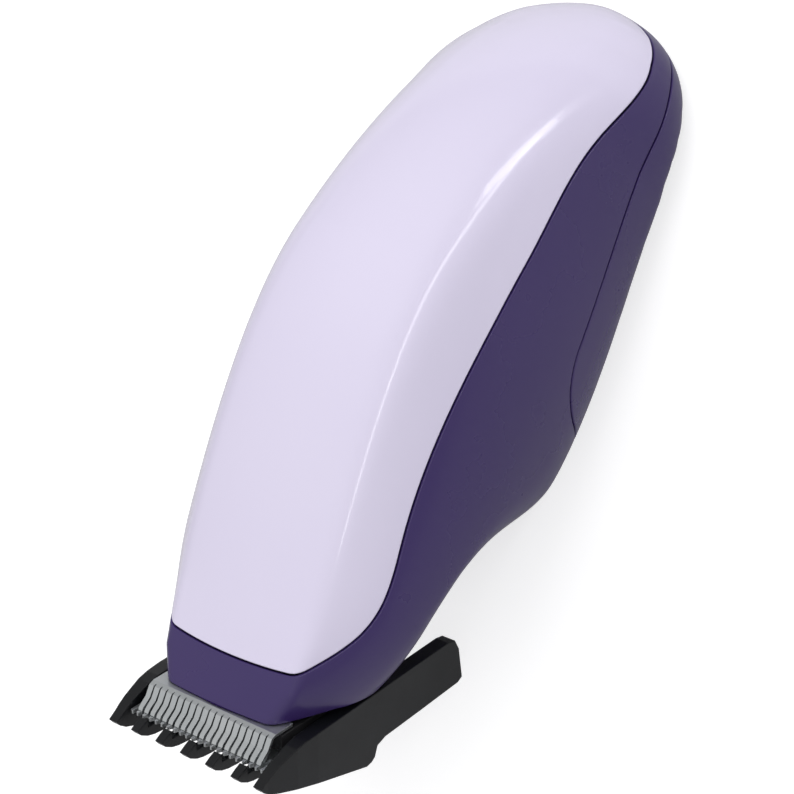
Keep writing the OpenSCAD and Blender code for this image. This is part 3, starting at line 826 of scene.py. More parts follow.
    def _screw_hole(self) -> tuple[np.ndarray, np.ndarray]:
        """The counterbore under the tongue's screw.

        Returns:
            The distance along the surface and the direction at each point.
        """
        x, y, z, side, back, up = self._blade_axes()
        reach = np.hypot(x, y - self.hole_y)
        radial = (x[:, None] * side + (y - self.hole_y)[:, None] * back) / np.maximum(reach, 1e-6)[:, None]
        return self._outside([[(reach - self.hole_r, radial), (z - self.hole_z, up)]])

    # -- pieces ------------------------------------------------------------------------------
    def _skin(self, trims: list[Trim]) -> Skin:
        """The surface trimmed to some lines.

        Args:
            trims: The lines.

        Returns:
            The trimmed half skin.
        """
        skin = Skin(self.points, self.normals, list(self.faces))
        skin.trim(trims)
        return skin

    def _finished(self, name: str, skin: Skin, extra: list["Patch"]) -> bpy.types.Object:
        """Mirrors a skin, adds its flat cut faces, and lays it on the table.

        Args:
            name: The piece's name.
            skin: The trimmed half skin.
            extra: Flat faces of cuts, in the body frame.

        Returns:
            The piece.
        """
        points, normals, faces = skin.mirrored()
        for patch in extra:
            for sign in (1, -1):
                base = len(points)
                points = np.concatenate([points, patch.points * [sign, 1, 1]])
                normals = np.concatenate(
                    [normals, np.tile(patch.normal * [sign, 1, 1], (len(patch.points), 1))]
                )
                turned = [tuple(base + i for i in (f if sign == 1 else f[::-1])) for f in patch.faces]
                faces = faces + turned
        t = math.radians(self.form.rest_tilt)
        laid = self.form.laid(points)
        laid[:, 2] = np.maximum(laid[:, 2], 0.0)
        n = np.stack(
            [
                normals[:, 0],
                normals[:, 1] * math.cos(t) + normals[:, 2] * math.sin(t),
                -normals[:, 1] * math.sin(t) + normals[:, 2] * math.cos(t),
            ],
            1,
        )
        return mesh_object(name, laid, faces, n)

    def build_cover(self) -> bpy.types.Object:
        """Builds the lilac top cover.

        Returns:
            The piece.
        """
        above, way = self._seam()
        inset = self.gap / 2 + self.edge
        skin = self._skin([Trim(above - inset, -way, self.edge, self.turn)])
        return self._finished("cover_skin", skin, [])

    def build_housing(self) -> bpy.types.Object:
        """Builds the purple housing with its cuts for blade set, comb, switch and screw.

        Returns:
            The piece.
        """
        above, way = self._seam()
        within, door_way = self._door()
        clear, cut_way = self._blade_space()
        around, recess_way = self._switch_recess()
        beyond, hole_way = self._screw_hole()
        inset = self.gap / 2 + self.edge
        skin = self._skin(
            [
                Trim(-above - inset, way, self.edge, self.turn),
                Trim(-within - inset, door_way, self.edge, self.turn),
                Trim(clear - self.edge, -cut_way, self.edge, 0.4),
                Trim(around - 0.12, -recess_way, 0.12, 0.5),
                Trim(beyond - 0.12, -hole_way, 0.12, 1.4),
            ]
        )
        return self._finished("housing_skin", skin, self._cut_faces())

    def build_door(self) -> bpy.types.Object:
        """Builds the battery door.

        Returns:
            The piece.
        """
        within, door_way = self._door()
        inset = self.gap / 2 + self.edge
        skin = self._skin([Trim(within - inset, -door_way, self.edge, self.turn)])
        return self._finished("door_skin", skin, [])

    def _cut_faces(self) -> list["Patch"]:
        """The flat faces of nose, pocket, rebates, and the switch's recess and slot.

        Returns:
            The faces that have anything left inside the body.
        """
        rx, rz, nz = self.rebate_x, self.rebate_z, self.nose_z
        front, pocket, back = self.space_front, self.space_back, self.rebate_back
        made = [
            Patch.level(self, (0, rx + 1), (-14, pocket), nz, -1),
            Patch.level(self, (rx + 1, 26), (-14, front), nz, -1),
            Patch.level(self, (rx, 26), (front, back), rz, -1),
            Patch.upright_across(self, (0, rx), (-14, nz), pocket),
            Patch.upright_across(self, (rx + 1, 26), (rz, nz), front),
            Patch.upright_along(self, rx, (pocket, back), (-14, rz)),
            Patch.level(self, (self.slot_x, self.recess_x), self.recess_y, self.recess_z, -1),
            Patch.level(self, (0, self.slot_x), (self.recess_y[0], self.slot_y[0]), self.recess_z, -1),
            Patch.level(self, (0, self.slot_x), (self.slot_y[1], self.recess_y[1]), self.recess_z, -1),
            Patch.upright_along(self, self.slot_x, self.slot_y, (self.recess_z, self.slot_top), -1),
            Patch.upright_across(
                self, (0, self.slot_x), (self.recess_z, self.slot_top), self.slot_y[0], -1
            ),
            Patch.upright_across(self, (0, self.slot_x), (self.recess_z, self.slot_top), self.slot_y[1]),
        ]
        return [p for p in made if p.faces]


@dataclass
class Patch:
    """One flat face of a cut, clipped to the inside of the body.

    Attributes:
        points: Its points, in the body frame.
        normal: Its outward normal.
        faces: Corners of each of its faces.
    """

    points: np.ndarray
    normal: np.ndarray
    faces: list[tuple[int, ...]]

    # The cross-sections that faces are clipped to, and how far inside them the faces end.
    FIRST = -4.0
    LAST = 46.0
    STEP = 0.5
    MARGIN = 0.16

    @classmethod
    def _clipped(
        cls, shells: MouldedShells, x: np.ndarray, y: np.ndarray, z: np.ndarray, normal: np.ndarray
    ) -> "Patch":
        """Clips a grid in the blade frame to the inside of the body.

        Args:
            shells: The shells, for the body's form.
            x: Grid of places across.
            y: Grid of places back along the blade.
            z: Grid of places up from the blade.
            normal: The face's outward normal in the body frame.

        Returns:
            The clipped face.
        """
        rows, columns = x.shape
        s, h = shells.form.blade_to_body(y, z)
        inside = np.zeros(x.size)
        flat = [v.ravel() for v in (x, s, h)]
        stations = np.arange(cls.FIRST, cls.LAST, cls.STEP)
        table = [shells.form.section(float(q), 160) for q in stations]
        for i in range(x.size):
            q = (flat[1][i] - cls.FIRST) / cls.STEP
            if q < 0 or q >= len(stations) - 1:
                inside[i] = -5
                continue
            j, k = int(q), q - int(q)
            widths = [
                np.interp(flat[2][i], table[m][::-1, 1], table[m][::-1, 0], left=-3, right=-3)
                for m in (j, j + 1)
            ]
            inside[i] = mix(widths[0], widths[1], k) - flat[0][i] - cls.MARGIN
        data = np.stack(flat + [np.zeros(x.size)] * 3 + [inside], 1)
        faces = [
            (i * columns + j, i * columns + j + 1, (i + 1) * columns + j + 1, (i + 1) * columns + j)
            for i in range(rows - 1)
            for j in range(columns - 1)
        ]
        a, b, c = (data[i, :3] for i in faces[0][:3])
        if float(np.dot(np.cross(b - a, c - a), normal)) < 0:
            faces = [tuple(reversed(q)) for q in faces]
        data, faces, _ = Skin._cut(data, faces, 6, 0, {})
        return cls(data[:, :3], normal, faces)

    @classmethod
    def level(
        cls, shells: MouldedShells, xs: tuple[float, float], ys: tuple[float, float], z: float, face: int
    ) -> "Patch":
        """A face parallel to the blade, looking down at it (face -1) or up (1).

        Args:
            shells: The shells, for the body's form.
            xs: Ends across.
            ys: Ends back along the blade.
            z: Height above the blade.
            face: The way it looks.

        Returns:
            The clipped face.
        """
        t = math.radians(shells.form.blade_tilt)
        x, y = np.meshgrid(np.linspace(*xs, 44), np.linspace(*ys, 60))
        normal = face * np.array([0, math.sin(t), math.cos(t)])
        return cls._clipped(shells, x, y, np.full_like(x, z), normal)

    @classmethod
    def upright_across(
        cls, shells: MouldedShells, xs: tuple[float, float], zs: tuple[float, float], y: float,
        face: int = 1,
    ) -> "Patch":
        """A face across the blade, looking forwards (face 1) or backwards (-1).

        Args:
            shells: The shells, for the body's form.
            xs: Ends across.
            zs: Ends up from the blade.
            y: Place back along the blade.
            face: The way it looks.

        Returns:
            The clipped face.
        """
        t = math.radians(shells.form.blade_tilt)
        x, z = np.meshgrid(np.linspace(*xs, 44), np.linspace(*zs, 40))
        return cls._clipped(
            shells, x, np.full_like(x, y), z, face * np.array([0, -math.cos(t), math.sin(t)])
        )

    @classmethod
    def upright_along(
        cls, shells: MouldedShells, x: float, ys: tuple[float, float], zs: tuple[float, float],
        face: int = 1,
    ) -> "Patch":
        """A face along the blade, looking outwards (face 1) or inwards (-1).

        Args:
            shells: The shells, for the body's form.
            x: Place across.
            ys: Ends back along the blade.
            zs: Ends up from the blade.
            face: The way it looks.

        Returns:
            The clipped face.
        """
        y, z = np.meshgrid(np.linspace(*ys, 60), np.linspace(*zs, 40))
        return cls._clipped(shells, np.full_like(y, x), y, z, np.array([1.0 * face, 0, 0]))


class ShellInsides:
    """The insides of the moulded shells: walls, ribs, ledges, hooks and bosses.

    They are the faces of the frame's own solids that lie well under the outer surface, so the
    skins outside and the workings inside meet at the turned edges.
    """

    DEPTH = 0.0009

    def __init__(self, shells: MouldedShells) -> None:
        """Prepares the outer surface that depths are measured from.

        Args:
            shells: The shells whose outer surface it is.
        """
        points, _, faces = Skin(shells.points, shells.normals, list(shells.faces)).mirrored()
        self.outer = BVHTree.FromPolygons(shells.form.laid(points).tolist(), faces)

    def build(self, name: str, node: bpy.types.Object, first: float) -> bpy.types.Object:
        """Builds one shell's inside.

        Args:
            name: The piece's name.
            node: The frame's solid.
            first: Place along Y in metres behind which its faces are kept.

        Returns:
            The piece.
        """
        corners = np.array([list(v.co) for v in node.data.vertices])
        depth = np.array([self.outer.find_nearest(Vector(c))[3] for c in corners])
        inner = (depth > self.DEPTH) & (corners[:, 1] > first)
        faces = [tuple(p.vertices) for p in node.data.polygons if inner[list(p.vertices)].all()]
        piece = mesh_object(name, corners, faces)
        piece.data.set_sharp_from_angle(angle=math.radians(35))
        return piece


# ---------------------------------------------------------------------------------------------
# Finishes
# ---------------------------------------------------------------------------------------------
class NodeBoard:
    """Lays shader nodes on a material and joins them up."""

    def __init__(self, name: str) -> None:
        """Starts a material with an empty board.

        Args:
            name: The material's name.
        """
        self.material = bpy.data.materials.new(name)
        self.material.use_nodes = True
        self.tree = self.material.node_tree
        self.tree.nodes.clear()
        self.shader = self.add("ShaderNodeBsdfPrincipled", 600, 0)
        self.output = self.add("ShaderNodeOutputMaterial", 900, 0)
        self.join(self.shader.outputs["BSDF"], self.output.inputs["Surface"])
        self.places = self.add("ShaderNodeTexCoord", -900, 0)

    def add(self, kind: str, x: int, y: int) -> bpy.types.Node:
        """Adds a node of a kind at a place on the board.

        Args:
            kind: The node's type.
            x: Its place across.
            y: Its place up.

        Returns:
            The node.
        """
        node = self.tree.nodes.new(kind)
        node.location = (x, y)
        return node

    def join(self, start: bpy.types.NodeSocket, end: bpy.types.NodeSocket) -> None:
        """Joins two sockets."""
        self.tree.links.new(start, end)

    def stretched(self, stretch: tuple[float, float, float], turn: float, y: int) -> bpy.types.NodeSocket:
        """The object's coordinates, turned about X and stretched.

        Args:
            stretch: Scale of each axis.
            turn: Turn about X in degrees.
            y: The node's place on the board.

        Returns:
            The vector socket.
        """
        node = self.add("ShaderNodeMapping", -700, y)
        node.vector_type = "TEXTURE"
        node.inputs["Rotation"].default_value = (math.radians(turn), 0, 0)
        node.inputs["Scale"].default_value = tuple(1 / v for v in stretch)
        self.join(self.places.outputs["Object"], node.inputs["Vector"])
        return node.outputs["Vector"]

    def noise(
        self, vector: bpy.types.NodeSocket, scale: float, detail: float, y: int
    ) -> bpy.types.NodeSocket:
        """A noise from 0 to 1 over some coordinates.

        Args:
            vector: The coordinates.
            scale: How fine it is.
            detail: How many finer layers it has.
            y: The node's place on the board.

        Returns:
            The noise's socket.
        """
        node = self.add("ShaderNodeTexNoise", -450, y)
        node.inputs["Scale"].default_value = scale
        node.inputs["Detail"].default_value = detail
        self.join(vector, node.inputs["Vector"])
        return node.outputs["Fac"]

    def ranged(
        self, value: bpy.types.NodeSocket, low: float, high: float, y: int,
        ends: tuple[float, float] = (0.3, 0.7),
    ) -> bpy.types.NodeSocket:
        """A value brought from one range to another.

        Args:
            value: The value.
            low: What the lower end becomes.
            high: What the upper end becomes.
            y: The node's place on the board.
            ends: The range that is brought over.

        Returns:
            The new value's socket.
        """
        node = self.add("ShaderNodeMapRange", -200, y)
        node.inputs["From Min"].default_value = ends[0]
        node.inputs["From Max"].default_value = ends[1]
        node.inputs["To Min"].default_value = low
        node.inputs["To Max"].default_value = high
        self.join(value, node.inputs["Value"])
        return node.outputs["Result"]

    def blended(
        self,
        share: bpy.types.NodeSocket,
        first: tuple[float, float, float],
        second: tuple[float, float, float],
        y: int,
    ) -> bpy.types.NodeSocket:
        """Two colours blended by a share.

        Args:
            share: The share of the second colour.
            first: The first colour.
            second: The second colour.
            y: The node's place on the board.

        Returns:
            The colour's socket.
        """
        node = self.add("ShaderNodeMix", 50, y)
        node.data_type = "RGBA"
        self.join(share, node.inputs[0])
        node.inputs[6].default_value = (*first, 1)
        node.inputs[7].default_value = (*second, 1)
        return node.outputs[2]

    def bumped(
        self, height: bpy.types.NodeSocket, strength: float, distance: float, y: int,
        under: bpy.types.NodeSocket | None = None,
    ) -> bpy.types.NodeSocket:
        """A normal roughened by a height.

        Args:
            height: The height.
            strength: How strongly it shows.
            distance: How high it stands, in metres.
            y: The node's place on the board.
            under: A normal that this one is laid over.

        Returns:
            The normal's socket.
        """
        node = self.add("ShaderNodeBump", 250, y)
        node.inputs["Strength"].default_value = strength
        node.inputs["Distance"].default_value = distance
        self.join(height, node.inputs["Height"])
        if under is not None:
            self.join(under, node.inputs["Normal"])
        return node.outputs["Normal"]

    def eased_edges(self, radius: float, y: int) -> bpy.types.NodeSocket:
        """A normal that rounds sharp edges off over a radius in metres.

        Args:
            radius: The radius.
            y: The node's place on the board.

        Returns:
            The normal's socket.
        """
        node = self.add("ShaderNodeBevel", 0, y)
        node.samples = 6
        node.inputs["Radius"].default_value = radius
        return node.outputs["Normal"]


@dataclass(frozen=True)
class Finish:
    """What one surface looks like.

    Attributes:
        name: The finish's name.
        kind: The family it belongs to.
        colour: Its colour, linear.
        second: The colour it drifts to.
        rough: Lowest and highest roughness.
        grain: Bump strength of its fine texture.
        edge: Radius of its eased edges in metres, or 0.
        axis: Direction of its grinding marks, for steel.
        turn: Turn of its grain about X in degrees.
        coat: Weight of a clear gloss over it.
    """

    name: str
    kind: Kind
    colour: tuple[float, float, float]
    second: tuple[float, float, float]
    rough: tuple[float, float] = (0.2, 0.3)
    grain: float = 0.1
    edge: float = 0.0
    axis: Axis = Axis.ACROSS
    turn: float = 0.0
    coat: float = 0.0

    def make(self) -> bpy.types.Material:
        """Makes the material for this finish.

        Returns:
            The material.
        """
        board = NodeBoard(self.name)
        makers = {
            Kind.GLOSS_MOULDED: self._gloss,
            Kind.MATTE_MOULDED: self._matte,
            Kind.GROUND_STEEL: self._ground,
            Kind.BRIGHT_METAL: self._bright,
            Kind.SOFT_LEAD: self._lead,
            Kind.SHRINK_JACKET: self._jacket,
        }
        makers[self.kind](board)
        return board.material

    def _surface(self, board: NodeBoard, cloud: float, fine: float) -> bpy.types.NodeSocket | None:
        """Colour drift and roughness drift that every finish has.

        Args:
            board: The board.
            cloud: Scale of the colour's drift.
            fine: Scale of the roughness's drift.

        Returns:
            The eased-edge normal, or None.
        """
        plain = board.places.outputs["Object"]
        drift = board.ranged(board.noise(plain, cloud, 3, 200), 0, 1, 200)
        board.join(board.blended(drift, self.colour, self.second, 200), board.shader.inputs["Base Color"])
        smear = board.noise(plain, fine, 5, 0)
        board.join(board.ranged(smear, self.rough[0], self.rough[1], 0), board.shader.inputs["Roughness"])
        return board.eased_edges(self.edge, -400) if self.edge else None

    def _gloss(self, board: NodeBoard) -> None:
        """Glossy moulded plastic: faint ripple, handling haze and hair-fine scratches.

        Args:
            board: The board to lay the nodes on.
        """
        under = self._surface(board, 22, 60)
        plain = board.places.outputs["Object"]
        ripple = board.bumped(board.noise(plain, 180, 2, -200), self.grain, 0.00002, -200, under)
        lines = board.noise(board.stretched((1, 0.05, 1), -31, -600), 1500, 3, -600)
        board.join(
            board.bumped(lines, 0.02, 0.000002, -600, ripple), board.shader.inputs["Normal"]
        )
        board.shader.inputs["IOR"].default_value = 1.5
        board.shader.inputs["Coat Weight"].default_value = self.coat
        board.shader.inputs["Coat Roughness"].default_value = 0.06

    def _matte(self, board: NodeBoard) -> None:
        """Moulded plastic with a fine eroded texture and worn, shinier patches.

        Args:
            board: The board to lay the nodes on.
        """
        under = self._surface(board, 60, 120)
        plain = board.places.outputs["Object"]
        eroded = board.noise(plain, 5200, 4, -200)
        broad = board.noise(plain, 700, 2, -500)
        first = board.bumped(eroded, self.grain, 0.00003, -200, under)
        board.join(
            board.bumped(broad, self.grain * 0.5, 0.00003, -500, first), board.shader.inputs["Normal"]
        )
        board.shader.inputs["IOR"].default_value = 1.49
        board.shader.inputs["Specular IOR Level"].default_value = 0.38

    def _ground(self, board: NodeBoard) -> None:
        """Ground steel: fine marks one way, with cloudy polish.

        Args:
            board: The board to lay the nodes on.
        """
        under = self._surface(board, 150, 300)
        marks = board.noise(board.stretched(self.axis.value, self.turn, -300), 9000, 6, -300)
        coarse = board.noise(board.stretched(self.axis.value, self.turn, -600), 2600, 3, -600)
        first = board.bumped(marks, self.grain, 0.00001, -300, under)
        board.join(board.bumped(coarse, self.grain, 0.00001, -600, first), board.shader.inputs["Normal"])
        board.shader.inputs["Metallic"].default_value = 1.0
        board.shader.inputs["Anisotropic"].default_value = 0.35

    def _bright(self, board: NodeBoard) -> None:
        """Stamped or drawn bright metal with a light tarnish.

        Args:
            board: The board to lay the nodes on.
        """
        under = self._surface(board, 400, 700)
        plain = board.places.outputs["Object"]
        board.join(
            board.bumped(board.noise(plain, 3000, 4, -200), self.grain, 0.00001, -200, under),
            board.shader.inputs["Normal"],
        )
        board.shader.inputs["Metallic"].default_value = 1.0

    def _lead(self, board: NodeBoard) -> None:
        """A soft lead's jacket: dull, with fine pull marks.

        Args:
            board: The board to lay the nodes on.
        """
        under = self._surface(board, 200, 500)
        marks = board.noise(board.stretched((1, 0.2, 1), 30, -200), 3000, 2, -200)
        board.join(board.bumped(marks, self.grain, 0.00002, -200, under), board.shader.inputs["Normal"])

    def _jacket(self, board: NodeBoard) -> None:
        """A cell's shrink jacket: a dark sleeve with a grey band at one end, and no print.

        Args:
            board: The board to lay the nodes on.
        """
        under = self._surface(board, 90, 200)
        turned = board.stretched((1, 1, 1), self.turn, -500)
        split = board.add("ShaderNodeSeparateXYZ", -450, -500)
        board.join(turned, split.inputs["Vector"])
        wave = board.ranged(split.outputs["Y"], 0, 1, -500, BAND_START)
        base = board.blended(wave, self.colour, BAND_GREY, -700)
        board.join(base, board.shader.inputs["Base Color"])
        plain = board.places.outputs["Object"]
        board.join(
            board.bumped(board.noise(plain, 500, 2, -200), self.grain, 0.00002, -200, under),
            board.shader.inputs["Normal"],
        )
        board.shader.inputs["Metallic"].default_value = 0.35


class FinishRack:
    """All finishes of the clipper, each made once."""

    BLADE_LEAN = 62.0

    def __init__(self) -> None:
        """Hangs up the finishes by name."""
        lean = self.BLADE_LEAN
        steel = (0.60, 0.63, 0.645)
        bright = (0.68, 0.70, 0.71)
        self.finishes = {
            f.name: f
            for f in (
                Finish("lilac_gloss", Kind.GLOSS_MOULDED, (0.735, 0.688, 0.858), (0.715, 0.668, 0.846),
                       (0.13, 0.19), 0.04, 0.0, coat=0.4),
                Finish("purple_gloss", Kind.GLOSS_MOULDED, (0.039, 0.02, 0.12), (0.035, 0.018, 0.111),
                       (0.24, 0.34), 0.06, 0.0, coat=0.2),
                Finish("comb_black", Kind.MATTE_MOULDED, (0.005, 0.0058, 0.0075), (0.0035, 0.004, 0.005),
                       (0.28, 0.4), 0.22, 0.0003),
                Finish("inner_black", Kind.MATTE_MOULDED, (0.014, 0.014, 0.016), (0.02, 0.02, 0.022),
                       (0.45, 0.6), 0.3, 0.00015),
                Finish("drive_ivory", Kind.MATTE_MOULDED, (0.72, 0.69, 0.6), (0.66, 0.63, 0.54),
                       (0.35, 0.5), 0.2, 0.00015),
                Finish("blade_steel", Kind.GROUND_STEEL, steel, bright, (0.36, 0.5), 0.25, 0.00006,
                       Axis.ALONG, lean),
                Finish("screw_steel", Kind.GROUND_STEEL, (0.55, 0.55, 0.56), bright, (0.2, 0.34), 0.12,
                       0.00008, Axis.ACROSS, lean),
                Finish("can_steel", Kind.GROUND_STEEL, (0.48, 0.49, 0.5), bright, (0.25, 0.4), 0.15,
                       0.0001, Axis.ALONG, 24.0),
                Finish("magnet_dark", Kind.BRIGHT_METAL, (0.05, 0.05, 0.055), (0.08, 0.08, 0.08),
                       (0.5, 0.65), 0.3, 0.0001),
                Finish("copper_wound", Kind.BRIGHT_METAL, (0.62, 0.28, 0.14), (0.5, 0.22, 0.1),
                       (0.3, 0.42), 0.3, 0.0001),
                Finish("contact_brass", Kind.BRIGHT_METAL, (0.66, 0.5, 0.22), (0.58, 0.43, 0.18),
                       (0.25, 0.4), 0.2, 0.00008),
                Finish("cell_jacket", Kind.SHRINK_JACKET, (0.02, 0.035, 0.07), (0.03, 0.045, 0.08),
                       (0.25, 0.35), 0.15, 0.0001, turn=-18.5),
                Finish("lead_red", Kind.SOFT_LEAD, (0.5, 0.02, 0.02), (0.42, 0.015, 0.015),
                       (0.45, 0.6), 0.15),
                Finish("lead_black", Kind.SOFT_LEAD, (0.012, 0.012, 0.012), (0.02, 0.02, 0.02),
                       (0.45, 0.6), 0.15),
                Finish("lead_white", Kind.SOFT_LEAD, (0.75, 0.74, 0.7), (0.68, 0.67, 0.62),
                       (0.45, 0.6), 0.15),
            )
        }
        self.made: dict[str, bpy.types.Material] = {}

    def get(self, name: str) -> bpy.types.Material:
        """The material of a finish, made when it is first asked for.

        Args:
            name: The finish's name.

        Returns:
            The material.
        """
        if name not in self.made:
            self.made[name] = self.finishes[name].make()
        return self.made[name]

    def dress(self, piece: bpy.types.Object, name: str) -> None:
        """Gives a piece one finish all over.

        Args:
            piece: The piece.
            name: The finish's name.
        """
        material = self.get(name)
        slots = piece.data.materials
        if len(slots):
            for i in range(len(slots)):
                slots[i] = material
        else:
            slots.append(material)


# ---------------------------------------------------------------------------------------------
# Sub-assemblies
# ---------------------------------------------------------------------------------------------
@dataclass
class ShellAssembly:
    """Cover, housing and battery door.

    Attributes:
        rack: The finishes.
        nodes: The frame's solids by name.
        shells: The skins' maker.
        inside_front: Place along Y in metres behind which the housing's inside is shown.
    """

    rack: FinishRack
    nodes: dict[str, bpy.types.Object]
    shells: MouldedShells = field(default_factory=MouldedShells)
    inside_front: float = -0.026

    def build(self) -> list[bpy.types.Object]:
        """Builds the three shells and puts each on its body.

        Returns:
            The pieces.
        """
        insides = ShellInsides(self.shells)
        made = []
        for skin, node, finish, slot, body, first in (
            (self.shells.build_cover(), "top_cover", "lilac_gloss", "cover_lilac", "clipper_body", -1.0),
            (self.shells.build_housing(), "main_housing", "purple_gloss", "housing_purple",
             "clipper_body", self.inside_front),
            (self.shells.build_door(), "battery_door", "purple_gloss", "housing_purple",
             "battery_door", -1.0),
        ):
            inside = insides.build(node + "_inside", self.nodes[node], first)
            for piece in (skin, inside):
                self.rack.dress(piece, finish)
                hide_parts(node)
                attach(piece, body)
                made.append(piece)
        return made


@dataclass
class FrameParts:
    """The pieces that keep their frame shapes and get finishes.

    Attributes:
        rack: The finishes.
        nodes: The frame's solids by name.
        finishes: Each node's finish.
    """

    rack: FinishRack
    nodes: dict[str, bpy.types.Object]
    finishes: dict[str, str] = field(
        default_factory=lambda: {
            "guide_comb": "comb_black",
            "blade_carrier": "inner_black",
            "switch_knob": "inner_black",
            "battery_tray": "inner_black",
            "motor_end_cap": "inner_black",
            "fixed_blade": "blade_steel",
            "moving_cutter": "blade_steel",
            "blade_screws": "screw_steel",
            "tray_screws": "screw_steel",
            "cover_screw": "screw_steel",
            "cutter_spring": "screw_steel",
            "motor_can": "can_steel",
            "switch_body": "can_steel",
            "motor_armature": "copper_wound",
            "motor_magnets": "magnet_dark",
            "shaft_bushes": "contact_brass",
            "motor_terminals": "contact_brass",
            "battery_terminals": "contact_brass",
            "battery_link": "contact_brass",
            "switch_contact": "contact_brass",
            "eccentric_cam": "drive_ivory",
            "cutter_follower": "drive_ivory",
            "battery_cells": "cell_jacket",
            "battery_lead": "lead_red",
            "ground_lead": "lead_black",
            "motor_lead": "lead_white",
        }
    )

    def build(self) -> list[bpy.types.Object]:
        """Dresses every kept node.

        Returns:
            The dressed pieces.
        """
        pieces = []
        for name, finish in self.finishes.items():
            piece = self.nodes[name]
            self.rack.dress(piece, finish)
            pieces.append(piece)
        return pieces


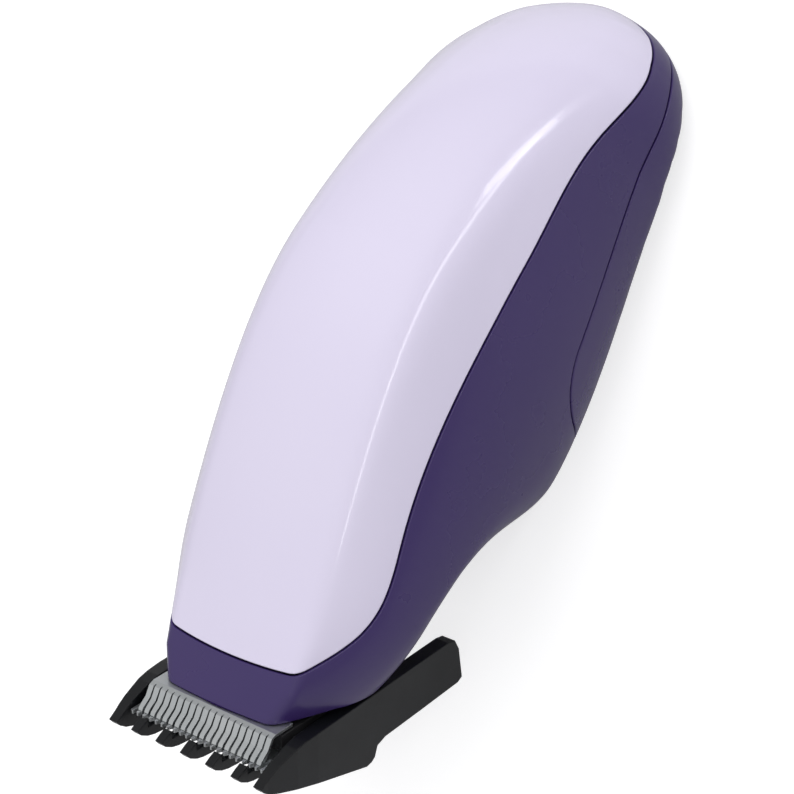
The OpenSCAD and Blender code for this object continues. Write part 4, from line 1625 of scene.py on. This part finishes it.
@dataclass
class Studio:
    """A plain pale floor, soft lamps and the camera.

    Attributes:
        camera_place: Where the camera stands, in metres.
        azimuth: The camera's angle around the clipper, in degrees.
        elevation: Its angle above the table, in degrees.
        roll: Its turn about its own view, in degrees.
        lens: Its focal length in millimetres.
        room_low: The room's light from below.
        room_high: The room's light from overhead.
        floor_size: Length of the floor's side in metres.
        floor_grey: The floor's colour.
        floor_glow: Light that the floor adds for the camera alone.
    """

    camera_place: tuple[float, float, float] = (0.17067, 0.00005, 0.27737)
    azimuth: float = 91.8191
    elevation: float = 56.0768
    roll: float = -74.5522
    lens: float = 95.696
    room_low: float = 0.32
    room_high: float = 0.7
    floor_size: float = 4.0
    floor_grey: tuple[float, float, float] = (0.6, 0.6, 0.61)
    floor_glow: float = 0.62

    def build(self) -> None:
        """Builds floor, light and camera."""
        self._floor()
        self._world()
        self._lamps()
        self._camera()
        settings = bpy.context.scene.view_settings
        settings.view_transform = "Standard"

    def _floor(self) -> None:
        """A seamless pale floor that keeps the object's shadow."""
        n = 24
        half = self.floor_size / 2
        mesh = bmesh.new()
        bmesh.ops.create_grid(mesh, x_segments=n, y_segments=n, size=half)
        data = bpy.data.meshes.new("studio_floor")
        mesh.to_mesh(data)
        mesh.free()
        floor = bpy.data.objects.new("studio_floor", data)
        bpy.context.scene.collection.objects.link(floor)
        floor.location.z = -0.00002
        board = NodeBoard("studio_floor")
        shader = board.shader
        shader.inputs["Base Color"].default_value = (*self.floor_grey, 1)
        shader.inputs["Roughness"].default_value = 0.8
        shader.inputs["Specular IOR Level"].default_value = 0.1
        glow = board.add("ShaderNodeEmission", 600, -300)
        glow.inputs["Color"].default_value = (1, 1, 1, 1)
        path = board.add("ShaderNodeLightPath", 100, -400)
        strength = board.add("ShaderNodeMath", 450, -400)
        strength.operation = "MULTIPLY"
        strength.inputs[1].default_value = self.floor_glow
        board.join(path.outputs["Is Camera Ray"], strength.inputs[0])
        board.join(strength.outputs[0], glow.inputs["Strength"])
        both = board.add("ShaderNodeAddShader", 750, -100)
        board.join(shader.outputs["BSDF"], both.inputs[0])
        board.join(glow.outputs["Emission"], both.inputs[1])
        board.join(both.outputs[0], board.output.inputs["Surface"])
        data.materials.append(board.material)

    def _world(self) -> None:
        """A pale room: white to the camera, and to the object brighter overhead than low down."""
        world = bpy.data.worlds.new("studio_room")
        bpy.context.scene.world = world
        world.use_nodes = True
        tree = world.node_tree
        tree.nodes.clear()
        out = tree.nodes.new("ShaderNodeOutputWorld")
        back = tree.nodes.new("ShaderNodeBackground")
        path = tree.nodes.new("ShaderNodeLightPath")
        where = tree.nodes.new("ShaderNodeTexCoord")
        split = tree.nodes.new("ShaderNodeSeparateXYZ")
        height = tree.nodes.new("ShaderNodeMapRange")
        height.interpolation_type = "SMOOTHSTEP"
        height.inputs["From Min"].default_value = -0.2
        height.inputs["From Max"].default_value = 1.0
        height.inputs["To Min"].default_value = self.room_low
        height.inputs["To Max"].default_value = self.room_high
        level = tree.nodes.new("ShaderNodeMix")
        level.inputs["B"].default_value = 1.0
        back.inputs["Color"].default_value = (1, 1, 1, 1)
        tree.links.new(where.outputs["Generated"], split.inputs["Vector"])
        tree.links.new(split.outputs["Z"], height.inputs["Value"])
        tree.links.new(height.outputs["Result"], level.inputs["A"])
        tree.links.new(path.outputs["Is Camera Ray"], level.inputs["Factor"])
        tree.links.new(level.outputs["Result"], back.inputs["Strength"])
        tree.links.new(back.outputs["Background"], out.inputs["Surface"])

    def _lamp(
        self, name: str, place: tuple[float, float, float], along: tuple[float, float, float],
        size: tuple[float, float], power: float, mirrored: bool = True,
    ) -> None:
        """One soft panel, turned to face the clipper.

        Args:
            name: Its name.
            place: Where it hangs.
            along: The way its long side runs.
            size: Its length and width.
            power: Its power in watts.
            mirrored: Whether glossy pieces show its reflection.
        """
        lamp = bpy.data.lights.new(name, "AREA")
        lamp.shape = "RECTANGLE"
        lamp.size, lamp.size_y = size
        lamp.energy = power
        holder = bpy.data.objects.new(name, lamp)
        bpy.context.scene.collection.objects.link(holder)
        back = Vector(place).normalized()
        side = back.cross(Vector(along)).normalized()
        turn = Matrix((side.cross(back), side, back)).transposed().to_4x4()
        holder.matrix_world = Matrix.Translation(Vector(place)) @ turn
        holder.visible_glossy = mirrored

    def _lamps(self) -> None:
        """A long soft strip beside the body, a key over the tail and a weak panel in front."""
        along = (0.08, 1.0, -0.36)
        self._lamp("strip_panel", (0.39, 0.30, 0.50), along, (1.2, 0.04), 0.8)
        self._lamp("spot_panel", (0.34, 0.79, 0.27), (0.1, 0.3, -0.9), (0.3, 0.1), 0.5)
        self._lamp("key_panel", (-0.25, 0.6, 0.8), (1.0, 0, 0), (1.1, 0.9), 4.6, False)
        self._lamp("front_panel", (0.2, -0.8, 0.45), (1.0, 0, 0), (0.6, 0.4), 1.0, False)

    def _camera(self) -> None:
        """The camera, from its place, its two viewing angles and its roll."""
        a, e, r = (math.radians(v) for v in (self.azimuth, self.elevation, self.roll))
        back = Vector((math.sin(a) * math.cos(e), -math.cos(a) * math.cos(e), math.sin(e)))
        level = Vector((math.cos(a), math.sin(a), 0))
        rise = back.cross(level)
        right = level * math.cos(r) + rise * math.sin(r)
        up = back.cross(right)
        turn = Matrix((right, up, back)).transposed().to_4x4()
        data = bpy.data.cameras.new("studio_camera")
        data.lens = self.lens
        data.sensor_width = 36
        data.clip_start = 0.01
        camera = bpy.data.objects.new("studio_camera", data)
        bpy.context.scene.collection.objects.link(camera)
        camera.matrix_world = Matrix.Translation(Vector(self.camera_place)) @ turn
        bpy.context.scene.camera = camera


def main() -> None:
    """Builds the clipper's looks class by class and reports each piece."""
    logging.basicConfig(level=logging.INFO, format="%(message)s")
    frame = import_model()
    rack = FinishRack()
    built = ShellAssembly(rack, frame["nodes"]).build()
    built += FrameParts(rack, frame["nodes"]).build()
    Studio().build()
    for piece in built:
        LOG.info("built %s with %d faces", piece.name, len(piece.data.polygons))


if __name__ == "__main__":
    main()
